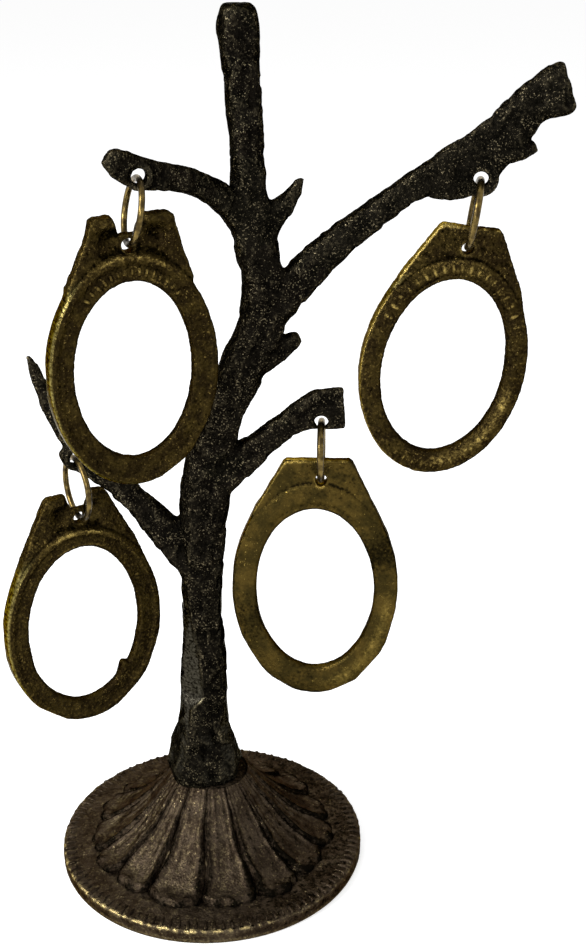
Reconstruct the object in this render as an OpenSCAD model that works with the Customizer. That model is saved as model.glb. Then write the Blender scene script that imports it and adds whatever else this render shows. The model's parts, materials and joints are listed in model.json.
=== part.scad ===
// Photo tree: a cast branching tree on a bell foot, with four hanging frames.
// Millimetres, +Z up, the front of the stand looks along -Y, origin at the
// centre of the foot's underside.

/* [Foot] */
// Radius of the foot at its rim
base_r = 35; // [31:0.5:45]
// Height of the upright edge of the rim
rim_h = 3.4; // [3:0.1:6]
// Rise of the flat band from the rim's edge to the petals
band_rise = 0.5; // [0.2:0.1:1.5]
// Width of the flat band outside the petals
band_w = 6.6; // [5:0.1:9]
// Height of the seat for the tree above the table
neck_h = 21.4; // [19:0.2:30]
// Radius of the neck under the tree
neck_r = 8.6; // [8:0.1:10]
// Wall of the hollow bell
base_wall = 2.4; // [1.6:0.1:3]
// Thickness of the web that the screw clamps
web_t = 5; // [3.5:0.1:6]
// Width of the ring that stands on the table
stand_w = 3; // [2:0.1:5]
// Number of petals round the bell
petals = 15; // [10:1:20]
// Depth of the grooves between petals
groove_d = 1.1; // [0.4:0.1:1.4]
// Height of the ribs along each petal
rib_h = 0.5; // [0.1:0.1:0.8]
// Height of the petal ends above the band
tip_h = 1.5; // [0.8:0.1:2.2]

/* [Fixing screw] */
// Diameter of the screw's shank
screw_d = 6; // [4:0.5:7]
// Length of thread inside the tree
screw_grip = 10; // [6:0.5:16]
// Width of the hexagon head across its corners
head_w = 10.6; // [9:0.1:12]
// Height of the head
head_h = 4; // [3:0.1:5]
// Outer diameter of the washer
washer_d = 12; // [11.5:0.1:14]
// Thickness of the washer
washer_t = 1.2; // [0.8:0.1:2]
// Radial clearance of the screw in the foot and the washer
screw_clear = 0.2; // [0.1:0.05:0.4]
// Radial clearance of the thread in the tree
thread_clear = 0.05; // [0.02:0.01:0.1]

/* [Tree] */
// Height of the trunk's tip above its seat
trunk_h = 170.5; // [150:0.5:190]
// Thickness of the flat casting, front to back
trunk_t = 8.4; // [7:0.1:10]
// Thickness of the lugs that hold the rings
lug_t = 2.6; // [2:0.1:3.2]
// Diameter of the drilled lug holes
lug_hole = 3; // [3:0.1:3.4]
// Upper left lug: reach from the foot's axis, to the left
ul_x = 8.8; // [6:0.1:12]
// Upper left lug: reach in front of the trunk
ul_y = 17; // [15:0.5:22]
// Upper left lug: height above the tree's seat
ul_z = 141.8; // [138:0.5:146]
// Upper right lug: reach to the right
ur_x = 56.7; // [52:0.1:64]
// Upper right lug: height above the tree's seat
ur_z = 137.3; // [132:0.5:142]
// Lower left lug: reach to the left
ll_x = 26.6; // [24:0.1:32]
// Lower left lug: height above the tree's seat
ll_z = 78.5; // [74:0.5:82]
// Lower right lug: reach to the right
lr_x = 25.5; // [25:0.1:32]
// Lower right lug: height above the tree's seat
lr_z = 86.4; // [82:0.2:90]

/* [Rings] */
// Diameter of the ring wire
wire_d = 1.5; // [1.1:0.1:1.7]
// Mean radius of the upper left and lower right rings
ring_r = 6.2; // [5.8:0.1:7.5]
// Mean radius of the two larger rings
big_ring_r = 6.7; // [5.8:0.1:7.5]
// Opening of the split in each ring, in degrees
ring_gap = 7; // [3:1:20]

/* [Frames] */
// Half width of the frames at the oval
oval_a = 17.9; // [17:0.1:20]
// Half height of the oval
oval_b = 24.6; // [23:0.1:27]
// Half width of the picture opening
open_a = 12.5; // [10:0.1:13]
// Half height of the picture opening
open_b = 18.7; // [16:0.1:19]
// Drop from the ring hole to the middle of the oval
oval_drop = 25.8; // [25:0.1:28]
// Thickness of the frames
frame_t = 3.6; // [2.6:0.1:4.4]
// Half width of the tab at its top
tab_a = 7.2; // [5.5:0.1:8.5]
// Height of the tab above the ring hole
tab_top = 4.5; // [3.6:0.1:5.2]
// Diameter of the ring hole in the tab
tab_hole = 2.6; // [2.5:0.1:3]
// Thickness of the tabs at the ring hole
tab_t = 2.2; // [1.6:0.1:2.6]
// Rise of a square tab's face where it meets the oval
tab_rise = 0.5; // [0.1:0.1:0.6]
// Depth of the picture rebate behind the opening
rebate_d = 1.2; // [0.6:0.1:1.6]
// Width of the picture rebate round the opening
rebate_w = 1.6; // [1:0.1:2.4]

/* [Hidden] */

bronze = "#3a342c";
dark_bronze = "#2c2925";
brass = "#8c7440";
steel = "#8d8f92";

// The wire rests low in a lug hole and high in a tab hole.
wire_low = 0.45;
tab_high = 0.2;
// Turn of each ring about the upright: the way its wire passes the lug.
ul_yaw = 18;
ur_yaw = -5;
ll_yaw = 29;
lr_yaw = -3;
// Lean of the rings and frames to the left, as they rest in the photograph.
ul_lean = 12;
ur_lean = 9;
// Turn of the casting's flat face to the front.
face_yaw = 14;
// Turn of the petals: a groove faces the front.
petal_turn = -7;

ul_hole = [-ul_x, -ul_y, neck_h + ul_z];
ur_hole = [ur_x, 0, neck_h + ur_z];
ll_hole = [-ll_x, 0, neck_h + ll_z];
lr_hole = [lr_x, 0, neck_h + lr_z];

// Curve through stations, with k steps to each span.
function curve(p, q, r, s, t) =
    0.5 * (2 * q + (r - p) * t + (2 * p - 5 * q + 4 * r - s) * t * t
    + (3 * q - 3 * r + s - p) * t * t * t);
function smooth(st, k) = let (n = len(st) - 1) concat(
    [for (i = [0:n - 1]) for (j = [0:k - 1])
        curve(st[max(i - 1, 0)], st[i], st[i + 1], st[min(i + 2, n)], j / k)],
    [st[n]]);

// Sweep: stations are [x, y, z, half width, half depth, yaw of the face].
function unit(v) = v / norm(v);
function place(s) = [s[0], s[1], s[2]];
function heading(st, i) =
    unit(place(st[min(i + 1, len(st) - 1)]) - place(st[max(i - 1, 0)]));
function facing(yaw) = [sin(yaw), -cos(yaw), 0];
function curl(v, e) = sign(v) * pow(abs(v), 2 / e);
function section(st, i, sides, e) =
    let (t = heading(st, i), w = unit(cross(t, facing(st[i][5]))), n = cross(w, t))
    [for (k = [0:sides - 1]) let (a = 360 * (k + 0.5) / sides)
        place(st[i]) + w * st[i][3] * curl(cos(a), e) + n * st[i][4] * curl(sin(a), e)];
module sweep(stations, k = 2, sides = 12, e = 3.2) {
    st = smooth(stations, k);
    rings = len(st);
    points = [for (i = [0:rings - 1]) each section(st, i, sides, e)];
    skin = [for (i = [0:rings - 2]) for (k = [0:sides - 1])
        let (p = i * sides + k, q = i * sides + (k + 1) % sides)
        each [[p, q, p + sides], [q, q + sides, p + sides]]];
    first = [for (k = [sides - 1:-1:0]) k];
    last = [for (k = [0:sides - 1]) (rings - 1) * sides + k];
    polyhedron(points, concat(skin, [first, last]), convexity = 10);
}

// A station part of the way from the root of a branch to its lug, moved off
// the straight line by side, fore and up, with half width, half depth and yaw.
function step(root, lug, f, off, a, b, yaw) =
    let (p = root + (lug - root) * f + off) [p[0], p[1], p[2], a, b, yaw];

// Outline of the bell: height of the petals' ground at radius r.
petal_r = base_r - band_w;
band_z = rim_h + band_rise;
function bell(r) = let (s = max(0, (petal_r - r) / (petal_r - neck_r)))
    band_z + tip_h * 0.55 + (neck_h - band_z - tip_h * 0.55) * pow(s, 1.75);

// Relief across one petal: u runs from -1 to 1 between its two grooves, with a
// rib along each side and a scooped middle.
function relief(u, s) = let (v = abs(u))
    (v > 0.99 ? -groove_d : v > 0.6 ? rib_h : v > 0.3 ? -0.2 * rib_h : -0.5 * rib_h)
    * min(1, 0.35 + 1.6 * s) * (1 - 0.75 * max(0, s - 0.7) / 0.3);
function petal_end(u) = petal_r - 2.6 * u * u;
function petal_angle(p, u) = petal_turn + (p + u / 2) * 360 / petals;

module petal_dome() {
    cuts = [-1, -0.84, -0.64, -0.36, 0, 0.36, 0.64, 0.84];
    steps = [0.05, 0.1, 0.18, 0.28, 0.4, 0.52, 0.64, 0.76, 0.88, 0.95];
    n = petals * len(cuts);
    low = [for (p = [0:petals - 1]) for (u = cuts) let (a = petal_angle(p, u))
        [cos(a) * (petal_end(u) + 0.25), sin(a) * (petal_end(u) + 0.25), rim_h - 0.6]];
    lip = [for (p = [0:petals - 1]) for (u = cuts) let (a = petal_angle(p, u))
        [cos(a) * petal_end(u), sin(a) * petal_end(u),
        u == -1 ? band_z - 0.3 : band_z + tip_h * 0.75]];
    rows = [for (s = steps) each [for (p = [0:petals - 1]) for (u = cuts)
        let (a = petal_angle(p, u), r0 = petal_end(u), r = r0 + (neck_r - r0) * s,
        crown = u == -1 ? 0 : tip_h * 0.5 * max(0, 1 - abs(s - 0.07) / 0.16))
        [cos(a) * r, sin(a) * r, bell(r) + relief(u, s) + crown]]];
    top = [for (p = [0:petals - 1]) for (u = cuts) let (a = petal_angle(p, u))
        [cos(a) * neck_r, sin(a) * neck_r, neck_h]];
    points = concat(low, lip, rows, top);
    levels = len(points) / n;
    skin = [for (i = [0:levels - 2]) for (k = [0:n - 1])
        let (p = i * n + k, q = i * n + (k + 1) % n)
        each [[p, p + n, q], [q, p + n, q + n]]];
    bottom = [for (k = [0:n - 1]) k];
    cap = [for (k = [n - 1:-1:0]) (levels - 1) * n + k];
    polyhedron(points, concat(skin, [bottom, cap]), convexity = 10);
}

// Hollow under the bell, following the outer curve at the wall's distance.
module bell_hollow() {
    in_r = base_r - stand_w;
    ceiling = neck_h - web_t;
    inner = [for (i = [0:9]) let (r = neck_r - 1.2 + (petal_r - 4 - neck_r) * i / 9)
        [r, min(ceiling, bell(r + base_wall * 0.5) - base_wall - groove_d)]];
    rotate_extrude($fn = 96)
        polygon(concat([[0, -1], [in_r, -1], [in_r - 1, rim_h - base_wall * 0.9]],
            [for (i = [9:-1:0]) inner[i]], [[inner[0][0], ceiling], [0, ceiling]]));
}

module base_foot() {
    color(bronze) difference() {
        union() {
            rotate_extrude($fn = 120) polygon([[0, 0], [base_r - 0.5, 0], [base_r, 0.5],
                [base_r, rim_h - 0.5], [base_r - 0.5, rim_h],
                [petal_r, band_z], [petal_r - 4, band_z], [petal_r - 4, rim_h - 0.3], [0, rim_h - 0.3]]);
            petal_dome();
        }
        bell_hollow();
        translate([0, 0, neck_h - web_t - 1])
            cylinder(r = screw_d / 2 + screw_clear, h = web_t + 2, $fn = 48);
    }
}

module screw_washer() {
    color(steel) translate([0, 0, neck_h - web_t - washer_t]) difference() {
        cylinder(d = washer_d, h = washer_t, $fn = 64);
        translate([0, 0, -1]) cylinder(r = screw_d / 2 + screw_clear, h = washer_t + 2, $fn = 48);
    }
}

module base_screw() {
    under = neck_h - web_t - washer_t;
    color(steel) union() {
        translate([0, 0, under - head_h]) cylinder(d = head_w, h = head_h, $fn = 6);
        translate([0, 0, under - 1])
            cylinder(d = screw_d, h = 1 + washer_t + web_t + screw_grip, $fn = 48);
        translate([0, 0, neck_h + screw_grip - 0.001])
            cylinder(d1 = screw_d, d2 = screw_d - 1.6, h = 0.8, $fn = 48);
    }
}

// Trunk stations above the seat: [across, up as a share of the trunk, half
// width, share of the casting's thickness].
trunk_line = [
    [-1.6, -0.015, 7.5, 1.85], [-1.6, 0.018, 7.7, 1.85], [-1.4, 0.050, 6.6, 1.5],
    [-1.2, 0.085, 5.4, 1.15], [-1.0, 0.115, 5.2, 1.0], [-0.8, 0.150, 5.1, 1.0],
    [-0.6, 0.190, 4.7, 1.0], [-0.7, 0.225, 4.4, 0.98], [-0.7, 0.260, 4.2, 1.0],
    [-0.6, 0.300, 4.4, 1.0], [-0.2, 0.345, 4.8, 1.05], [0.4, 0.395, 5.2, 1.05],
    [1.4, 0.440, 5.1, 1.0], [2.9, 0.480, 4.7, 1.0], [5.2, 0.525, 4.2, 1.0],
    [7.8, 0.555, 4.3, 1.0], [9.7, 0.585, 4.5, 1.0], [12.3, 0.615, 4.5, 1.0],
    [13.7, 0.645, 4.8, 1.0], [14.1, 0.673, 4.8, 1.0], [13.1, 0.705, 4.1, 0.95],
    [12.4, 0.727, 4.3, 0.95], [12.0, 0.749, 4.5, 0.92], [11.5, 0.775, 4.0, 0.9],
    [11.0, 0.800, 3.4, 0.88], [10.8, 0.840, 3.2, 0.85], [10.5, 0.880, 3.4, 0.85],
    [10.0, 0.935, 3.6, 0.88], [9.6, 0.970, 3.8, 0.88], [9.5, 0.985, 3.7, 0.86],
    [9.5, 0.996, 3.2, 0.74], [9.5, 1.000, 2.2, 0.5]];
function trunk_at(f) = [lookup(f, [for (s = trunk_line) [s[1], s[0]]]), 0, neck_h + f * trunk_h];

module trunk() {
    sweep([for (s = trunk_line)
        [s[0], 0, neck_h + s[1] * trunk_h, s[2], s[3] * trunk_t / 2, face_yaw]], k = 2, sides = 12);
}

// Roots that run down the foot of the trunk onto the neck.
module roots() {
    for (a = [20, 100, 165, 228, 262, 305]) {
        c = cos(a);
        s = sin(a);
        sweep([[-1 + 2.6 * c, 2.4 * s, neck_h + 19, 1.3, 1.2, a + 90],
            [-1.2 + 4.4 * c, 3.9 * s, neck_h + 12, 1.7, 1.5, a + 90],
            [-1.4 + 6.2 * c, 5.8 * s, neck_h + 5.5, 2.1, 1.7, a + 90],
            [-1.5 + 7.2 * c, 6.9 * s, neck_h + 1.8, 2.4, 1.6, a + 90],
            [-1.5 + 6.9 * c, 6.6 * s, neck_h - 2, 2.5, 1.6, a + 90]], k = 1, sides = 6, e = 2);
    }
}

// Each branch runs from its root in the trunk to its lug and on to its tip.
module branch_upper_right() {
    root = trunk_at(0.63);
    lug = ur_hole;
    half = lug_t * 0.5;
    sweep([step(root, lug, 0.00, [0, 0, 0], 3.4, 3.4, 8),
        step(root, lug, 0.12, [0, 0, 2.9], 3.7, 3.4, 6),
        step(root, lug, 0.25, [0, 0, 5.3], 3.6, 3.2, 4),
        step(root, lug, 0.38, [0, 0, 6.5], 3.2, 3.0, 2),
        step(root, lug, 0.52, [0, 0, 7.1], 2.9, 2.8, 0),
        step(root, lug, 0.62, [0, 0, 7.5], 2.6, 2.6, -2),
        step(root, lug, 0.73, [0, 0, 7.2], 3.1, half + 0.8, -4),
        step(root, lug, 0.84, [0, 0, 5.1], 5.0, half + 0.3, -5),
        step(root, lug, 0.94, [0, 0, 4.2], 5.8, half, -5),
        step(root, lug, 1.03, [0, 0, 4.7], 5.0, half + 0.1, -5),
        step(root, lug, 1.12, [0, 0, 6.2], 4.5, half + 0.6, -5),
        step(root, lug, 1.21, [0, 0, 8.0], 3.9, half + 1.1, -5),
        step(root, lug, 1.29, [0, 0, 7.6], 4.8, half + 1.5, -5),
        step(root, lug, 1.355, [0, 0, 6.9], 5.1, half + 1.6, -5),
        step(root, lug, 1.37, [0, 0, 6.7], 4.6, half + 1.2, -5)], k = 2, sides = 12);
    // Spur under the end of the branch
    sweep([step(root, lug, 1.04, [0, 0, 3.4], 2.8, half + 0.4, -5),
        step(root, lug, 1.12, [0, 0, 1.8], 2.5, half + 0.5, -5),
        step(root, lug, 1.20, [0, 0, -0.2], 1.8, half + 0.2, -5),
        step(root, lug, 1.24, [0, 0, -1.0], 1.0, half - 0.3, -5)], k = 2, sides = 8);
    lug_boss(lug, ur_yaw, lug_hole / 2 + 2);
}

module branch_lower_right() {
    root = trunk_at(0.43);
    lug = lr_hole;
    half = lug_t * 0.5;
    sweep([step(root, lug, 0.03, [0, 0, -2], 3.4, 3.4, 6),
        step(root, lug, 0.28, [0, 0, 0.2], 3.5, 3.2, 3),
        step(root, lug, 0.48, [0, 0, 1.6], 2.9, 2.8, 0),
        step(root, lug, 0.68, [0, 0, 3.2], 2.7, half + 0.9, -3),
        step(root, lug, 0.86, [0, 0, 3.5], 3.6, half + 0.3, -3),
        step(root, lug, 1.00, [0, 0, 2.6], 4.5, half, -3),
        step(root, lug, 1.13, [0, 0, 1.2], 4.7, half, -3),
        step(root, lug, 1.20, [0, 0, 0.4], 4.5, half - 0.2, -3)], k = 2, sides = 12, e = 4);
}

module branch_upper_left() {
    root = trunk_at(0.755);
    lug = ul_hole;
    half = lug_t * 0.5;
    sweep([step(root, lug, 0.00, [0, 0, -1.5], 3.8, 3.0, 30),
        step(root, lug, 0.20, [0, 1.2, 1.4], 3.0, 2.8, 34),
        step(root, lug, 0.40, [0, 1.6, 2.5], 2.6, 2.5, 38),
        step(root, lug, 0.62, [0, 1.2, 2.6], 2.4, 2.2, 38),
        step(root, lug, 0.84, [0, 0.4, 1.3], 2.8, half + 0.2, 34),
        step(root, lug, 1.00, [0, 0, 0.6], 3.1, half, 26),
        step(root, lug, 1.12, [0, 0, 0.6], 2.9, half, 26),
        step(root, lug, 1.21, [0, 0, 1.0], 2.2, half, 26),
        step(root, lug, 1.25, [0, 0, 1.2], 1.3, half - 0.5, 26)], k = 2, sides = 12);
}

module branch_lower_left() {
    root = trunk_at(0.315);
    lug = ll_hole;
    half = lug_t * 0.5;
    sweep([step(root, lug, -0.04, [0, 0, -2], 4.6, 3.4, 18),
        step(root, lug, 0.28, [0, 0, 0.3], 3.9, 3.2, 20),
        step(root, lug, 0.50, [0, 0, 1.7], 2.9, 2.8, 22),
        step(root, lug, 0.70, [0, 0, 2.0], 2.6, 2.3, 25),
        step(root, lug, 0.86, [0, 0, 1.5], 2.8, half + 0.2, 28),
        step(root, lug, 1.00, [0, 0, 0.6], 3.1, half, 29),
        step(root, lug, 1.05, [0, 0, 0.5], 2.7, half, 29),
        step(root, lug, 1.08, [0, 0, 0.5], 2.0, half - 0.3, 29)], k = 2, sides = 12);
    // Leaf like twig that rises behind the upper left frame
    sweep([lug_off(lug, [-0.6, 0.4, 2.0], 1.6, half - 0.4), lug_off(lug, [-2.0, 1.0, 4.6], 1.7, half - 0.1),
        lug_off(lug, [-4.4, 2.4, 9.2], 1.9, 1.3), lug_off(lug, [-6.4, 3.4, 14.4], 1.8, 1.2),
        lug_off(lug, [-8.2, 4.2, 18.8], 1.2, 0.9), lug_off(lug, [-9.2, 4.6, 21.2], 0.4, 0.4)],
        k = 2, sides = 8, e = 2.4);
}
function lug_off(lug, off, a, b) = [lug[0] + off[0], lug[1] + off[1], lug[2] + off[2], a, b, 24];

// Short broken stubs on the right of the trunk.
module stubs() {
    low = trunk_at(0.585);
    high = trunk_at(0.745);
    sweep([[low[0], 0, low[2] - 1, 3.2, 2.8, 8], [low[0] + 4.6, 0, low[2] + 1.2, 3.0, 2.4, 8],
        [low[0] + 8.0, 0, low[2] + 3.2, 2.2, 1.9, 8],
        [low[0] + 10.2, 0, low[2] + 4.6, 1.7, 1.5, 8],
        [low[0] + 11.2, 0, low[2] + 5.2, 1.0, 1.0, 8]], k = 2, sides = 8);
    sweep([[high[0], 0, high[2] - 2, 3.0, 2.8, 8], [high[0] + 3.6, 0, high[2] + 2.8, 2.9, 2.2, 8],
        [high[0] + 7.0, 0, high[2] + 6.2, 1.8, 1.6, 8],
        [high[0] + 9.0, 0, high[2] + 9.6, 1.0, 0.9, 8],
        [high[0] + 9.6, 0, high[2] + 10.8, 0.5, 0.5, 8]], k = 2, sides = 8);
}

// Round cheek of metal about a lug hole.
module lug_boss(at, yaw, r) {
    translate(at) rotate([90, 0, yaw]) cylinder(r = r, h = lug_t, center = true, $fn = 48);
}

// Drilled hole with both faces of the lug filed flat round it.
module lug_drill(at, yaw) {
    translate(at) rotate([90, 0, yaw]) {
        cylinder(d = lug_hole, h = 2 * trunk_t, center = true, $fn = 40);
        for (side = [-1, 1]) translate([0, 0, side * (lug_t + trunk_t) / 2])
            cylinder(r = lug_hole / 2 + 0.9, h = trunk_t, center = true, $fn = 40);
    }
}

module tree_casting() {
    color(dark_bronze) difference() {
        union() {
            trunk();
            roots();
            branch_upper_right();
            branch_lower_right();
            branch_upper_left();
            branch_lower_left();
            stubs();
            lug_boss(ll_hole, ll_yaw, lug_hole / 2 + 1.3);
            lug_boss(ul_hole, ul_yaw, lug_hole / 2 + 1.2);
        }
        lug_drill(ul_hole, ul_yaw);
        lug_drill(ur_hole, ur_yaw);
        lug_drill(ll_hole, ll_yaw);
        lug_drill(lr_hole, lr_yaw);
        translate([0, 0, neck_h - 1])
            cylinder(r = screw_d / 2 + thread_clear, h = screw_grip + 2.6, $fn = 48);
        translate([0, 0, neck_h / 2]) cube([2 * base_r, 2 * base_r, neck_h], center = true);
    }
}

// A ring hangs in its lug hole: its middle lies r below the wire's top.
module ring_at(lug, yaw, lean, r) {
    translate(lug - [0, 0, wire_low]) rotate([0, 0, yaw]) rotate([0, lean, 0])
        translate([0, 0, -r]) rotate([0, -90, 0]) rotate([0, 0, 215 + ring_gap / 2])
        rotate_extrude(angle = 360 - ring_gap, $fn = 72)
        translate([r, 0]) circle(d = wire_d, $fn = 24);
}

// The cast frames differ a little by hand: [side shift of the oval, more drop,
// more opening half width and half height, more outer half width and half
// height, more tab half width, side shift of the tab].
ul_vary = [0, -1, -0.4, -0.8, -0.6, -0.9, 1, 0.9];
ur_vary = [0, -0.3, 0.3, 0.2, -0.5, -0.6, -0.7, 0];
ll_vary = [-0.6, 0, 0.5, 0.2, 0.3, -0.8, -0.2, -0.7];
lr_vary = [-1.3, 0.6, 0.4, 0.8, 0.4, 1.7, 0.2, -0.7];

// Frame outlines are drawn flat, with the ring hole at the origin.
function oval(a, b, v, n) = [for (i = [0:n - 1]) let (t = 360 * i / n)
    [v[0] + a * cos(t), -oval_drop - v[1] + b * sin(t)]];

// Moulded section of the oval: [share of the way out, height], front then back.
function moulding(style) = style == "arc"
    ? [[0, 0.45], [0.07, 0.76], [0.58, 0.8], [0.7, 1], [0.9, 0.96], [1, 0.5],
        [1, -0.5], [0.9, -1], [0.1, -1], [0, -0.8]]
    : [[0, 0.5], [0.08, 0.9], [0.45, 1], [0.62, 0.94], [0.86, 0.8], [1, 0.3],
        [1, -0.5], [0.9, -1], [0.1, -1], [0, -0.8]];

module oval_ring(style, v) {
    n = 60;
    m = moulding(style);
    a0 = open_a + v[2];
    b0 = open_b + v[3];
    a1 = oval_a + v[4];
    b1 = oval_b + v[5];
    points = [for (i = [0:n - 1]) let (t = 360 * i / n) for (q = m)
        [v[0] + (a0 + (a1 - a0) * q[0]) * cos(t),
        -oval_drop - v[1] + (b0 + (b1 - b0) * q[0]) * sin(t), q[1] * frame_t / 2]];
    k = len(m);
    skin = [for (i = [0:n - 1]) for (j = [0:k - 1])
        let (p = i * k + j, q = i * k + (j + 1) % k, r = ((i + 1) % n) * k + j,
        s = ((i + 1) % n) * k + (j + 1) % k)
        each [[p, r, q], [q, r, s]]];
    polyhedron(points, skin, convexity = 10);
}

// Tab of a frame: square topped and thin, or notched between two thick lobes.
module tab_plate(style, v) {
    w = tab_a + v[6];
    high = tab_top + (style == "arc" ? 1.4 : 0);
    move = v[7];
    low = -oval_drop - v[1] + open_b + v[3] + 1.2;
    side = (oval_a + v[4]) * 0.72;
    right = [[w + move, high - 0.6], [w + 1 + move, 1.5], [side + v[0], -7], [side + v[0], -10]];
    left = [[-side + v[0], -10], [-side + v[0], -7], [-w - 1 + move, 1.5], [-w + move, high - 0.6]];
    top = style == "arc" ? [[-w + 1 + move, high], [-3, high], [-1.7, tab_hole / 2 + 1],
        [1.7, tab_hole / 2 + 1], [3, high], [w - 1 + move, high]]
        : [[-w + 0.7 + move, high], [w - 0.7 + move, high]];
    back = style == "arc" ? -frame_t / 2 + 0.3 : -tab_t / 2;
    thick = style == "arc" ? frame_t - 0.4 : tab_t + tab_rise;
    knee = -tab_hole / 2 - 0.7;
    difference() {
        translate([0, 0, back]) linear_extrude(thick) polygon(concat(left, top, right, [[0, low]]));
        if (style == "arc") {
            translate([0, 0, back + tab_t]) cylinder(r = 3, h = frame_t, $fn = 40);
            for (x = [-1, 1]) translate([x * (w - 2.6) + move, 1, back + thick - 0.9])
                cylinder(r1 = 1, r2 = 1.7, h = 1, $fn = 24);
        } else {
            // The face is thin round the hole and rises to the oval.
            translate([-oval_a, knee, tab_t / 2]) cube([2 * oval_a, 20, frame_t]);
            translate([-oval_a, knee, tab_t / 2]) rotate([-atan(tab_rise / 6), 0, 0])
                translate([0, -20, 0]) cube([2 * oval_a, 20.02, frame_t]);
        }
    }
}

module frame_solid(style, v) {
    difference() {
        union() {
            oval_ring(style, v);
            tab_plate(style, v);
        }
        linear_extrude(20, center = true) polygon(oval(open_a + v[2] - 0.02, open_b + v[3] - 0.02, v, 60));
        translate([0, 0, -frame_t / 2 - 1]) linear_extrude(1 + rebate_d)
            polygon(oval(open_a + v[2] + rebate_w, open_b + v[3] + rebate_w, v, 60));
        cylinder(d = tab_hole, h = 20, center = true, $fn = 40);
    }
}

// A frame hangs from the lowest point of its ring, and may hang straighter.
module frame_at(lug, yaw, lean, r, turn, tilt, style, v) {
    translate(lug - [0, 0, wire_low]) rotate([0, 0, yaw]) rotate([0, lean, 0])
        translate([0, 0, -2 * r]) rotate([0, tilt, 0]) translate([0, 0, -tab_high])
        rotate([90, 0, turn]) frame_solid(style, v);
}

module ring_upper_left() { color(brass) ring_at(ul_hole, ul_yaw, ul_lean, ring_r); }
module ring_upper_right() { color(brass) ring_at(ur_hole, ur_yaw, ur_lean, big_ring_r); }
module ring_lower_left() { color(brass) ring_at(ll_hole, ll_yaw, 0, big_ring_r); }
module ring_lower_right() { color(brass) ring_at(lr_hole, lr_yaw, 0, ring_r); }

module frame_upper_left() {
    color(brass) frame_at(ul_hole, ul_yaw, ul_lean, ring_r, 6, -ul_lean, "arc", ul_vary);
}
module frame_upper_right() {
    color(brass) frame_at(ur_hole, ur_yaw, ur_lean, big_ring_r, 9, 0, "step", ur_vary);
}
module frame_lower_left() {
    color(brass) frame_at(ll_hole, ll_yaw, 0, big_ring_r, 0, 0, "arc", ll_vary);
}
module frame_lower_right() {
    color(brass) frame_at(lr_hole, lr_yaw, 0, ring_r, 1, 0, "step", lr_vary);
}

base_foot();
tree_casting();
base_screw();
screw_washer();
ring_upper_left();
ring_upper_right();
ring_lower_left();
ring_lower_right();
frame_upper_left();
frame_upper_right();
frame_lower_left();
frame_lower_right();
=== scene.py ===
"""Dresses the photo tree stand: a patinated tree casting on a petalled foot, with rings and frames.

Sizes in the classes are millimetres. Meshes are made in metres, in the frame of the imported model:
+Z up, the front of the stand towards -Y, the origin under the middle of the foot.
"""
import json
import logging
import math
from dataclasses import dataclass, field
from enum import Enum

import bmesh
import bpy
import numpy as np
from bpy.types import ID, Material, Mesh, NodeSocket, NodeTree, Object, bpy_prop_collection
from mathutils import Matrix, Vector, geometry, kdtree

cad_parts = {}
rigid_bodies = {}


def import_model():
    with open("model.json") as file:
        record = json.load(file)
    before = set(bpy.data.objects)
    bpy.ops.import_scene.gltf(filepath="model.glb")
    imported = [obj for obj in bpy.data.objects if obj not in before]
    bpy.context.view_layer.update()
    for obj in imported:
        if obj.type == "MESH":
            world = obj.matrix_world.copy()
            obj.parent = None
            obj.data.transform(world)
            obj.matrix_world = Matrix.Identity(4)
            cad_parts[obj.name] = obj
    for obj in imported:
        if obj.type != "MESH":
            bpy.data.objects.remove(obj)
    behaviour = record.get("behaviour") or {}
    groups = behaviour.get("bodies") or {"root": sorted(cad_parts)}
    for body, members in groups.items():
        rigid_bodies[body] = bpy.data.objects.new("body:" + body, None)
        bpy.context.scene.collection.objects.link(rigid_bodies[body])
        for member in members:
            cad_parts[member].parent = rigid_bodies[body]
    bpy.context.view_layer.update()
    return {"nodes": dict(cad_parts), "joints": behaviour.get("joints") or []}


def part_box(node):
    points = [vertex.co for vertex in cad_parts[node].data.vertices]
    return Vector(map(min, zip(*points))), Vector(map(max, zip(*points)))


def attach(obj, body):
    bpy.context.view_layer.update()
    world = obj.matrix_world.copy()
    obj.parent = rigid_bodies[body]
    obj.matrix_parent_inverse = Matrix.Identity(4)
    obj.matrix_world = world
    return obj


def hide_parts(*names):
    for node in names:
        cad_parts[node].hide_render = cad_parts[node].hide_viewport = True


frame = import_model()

MM = 0.001
# Type names of the nodes that come up most often.
MATHS = "ShaderNodeMath"
NOISE = "ShaderNodeTexNoise"
RANGE = "ShaderNodeMapRange"
MIX = "ShaderNodeMix"
log = logging.getLogger("photo_tree")


def linear(code: str) -> tuple[float, float, float, float]:
    """Turns an sRGB hex colour into linear RGBA.

    Args:
        code: The colour as six hex digits after a hash sign.

    Returns:
        Linear red, green, blue and an alpha of 1.
    """
    parts = [int(code[i:i + 2], 16) / 255 for i in (1, 3, 5)]
    red, green, blue = (c / 12.92 if c <= 0.04045 else ((c + 0.055) / 1.055) ** 2.4 for c in parts)
    return (red, green, blue, 1.0)


def step(values: np.ndarray, low: float, high: float) -> np.ndarray:
    """Gives a smooth step from 0 at the low value to 1 at the high one."""
    share = np.clip((values - low) / (high - low), 0, 1)
    return share * share * (3 - 2 * share)


def hump(values: np.ndarray, middle: float, width: float) -> np.ndarray:
    """Gives a bell curve: 1 at the middle, and 0.37 a width away from it."""
    return np.exp(-((values - middle) / width) ** 2)


def polar(x: np.ndarray, y: np.ndarray) -> tuple[np.ndarray, np.ndarray]:
    """Gives distance and direction from the origin, in radians."""
    return np.hypot(x, y), np.arctan2(y, x)


def oval_reach(half: tuple[float, float], angle: np.ndarray) -> np.ndarray:
    """Gives an oval's distance from its middle in each direction, from its half width and height."""
    return half[0] * half[1] / np.hypot(half[1] * np.cos(angle), half[0] * np.sin(angle))


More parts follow.
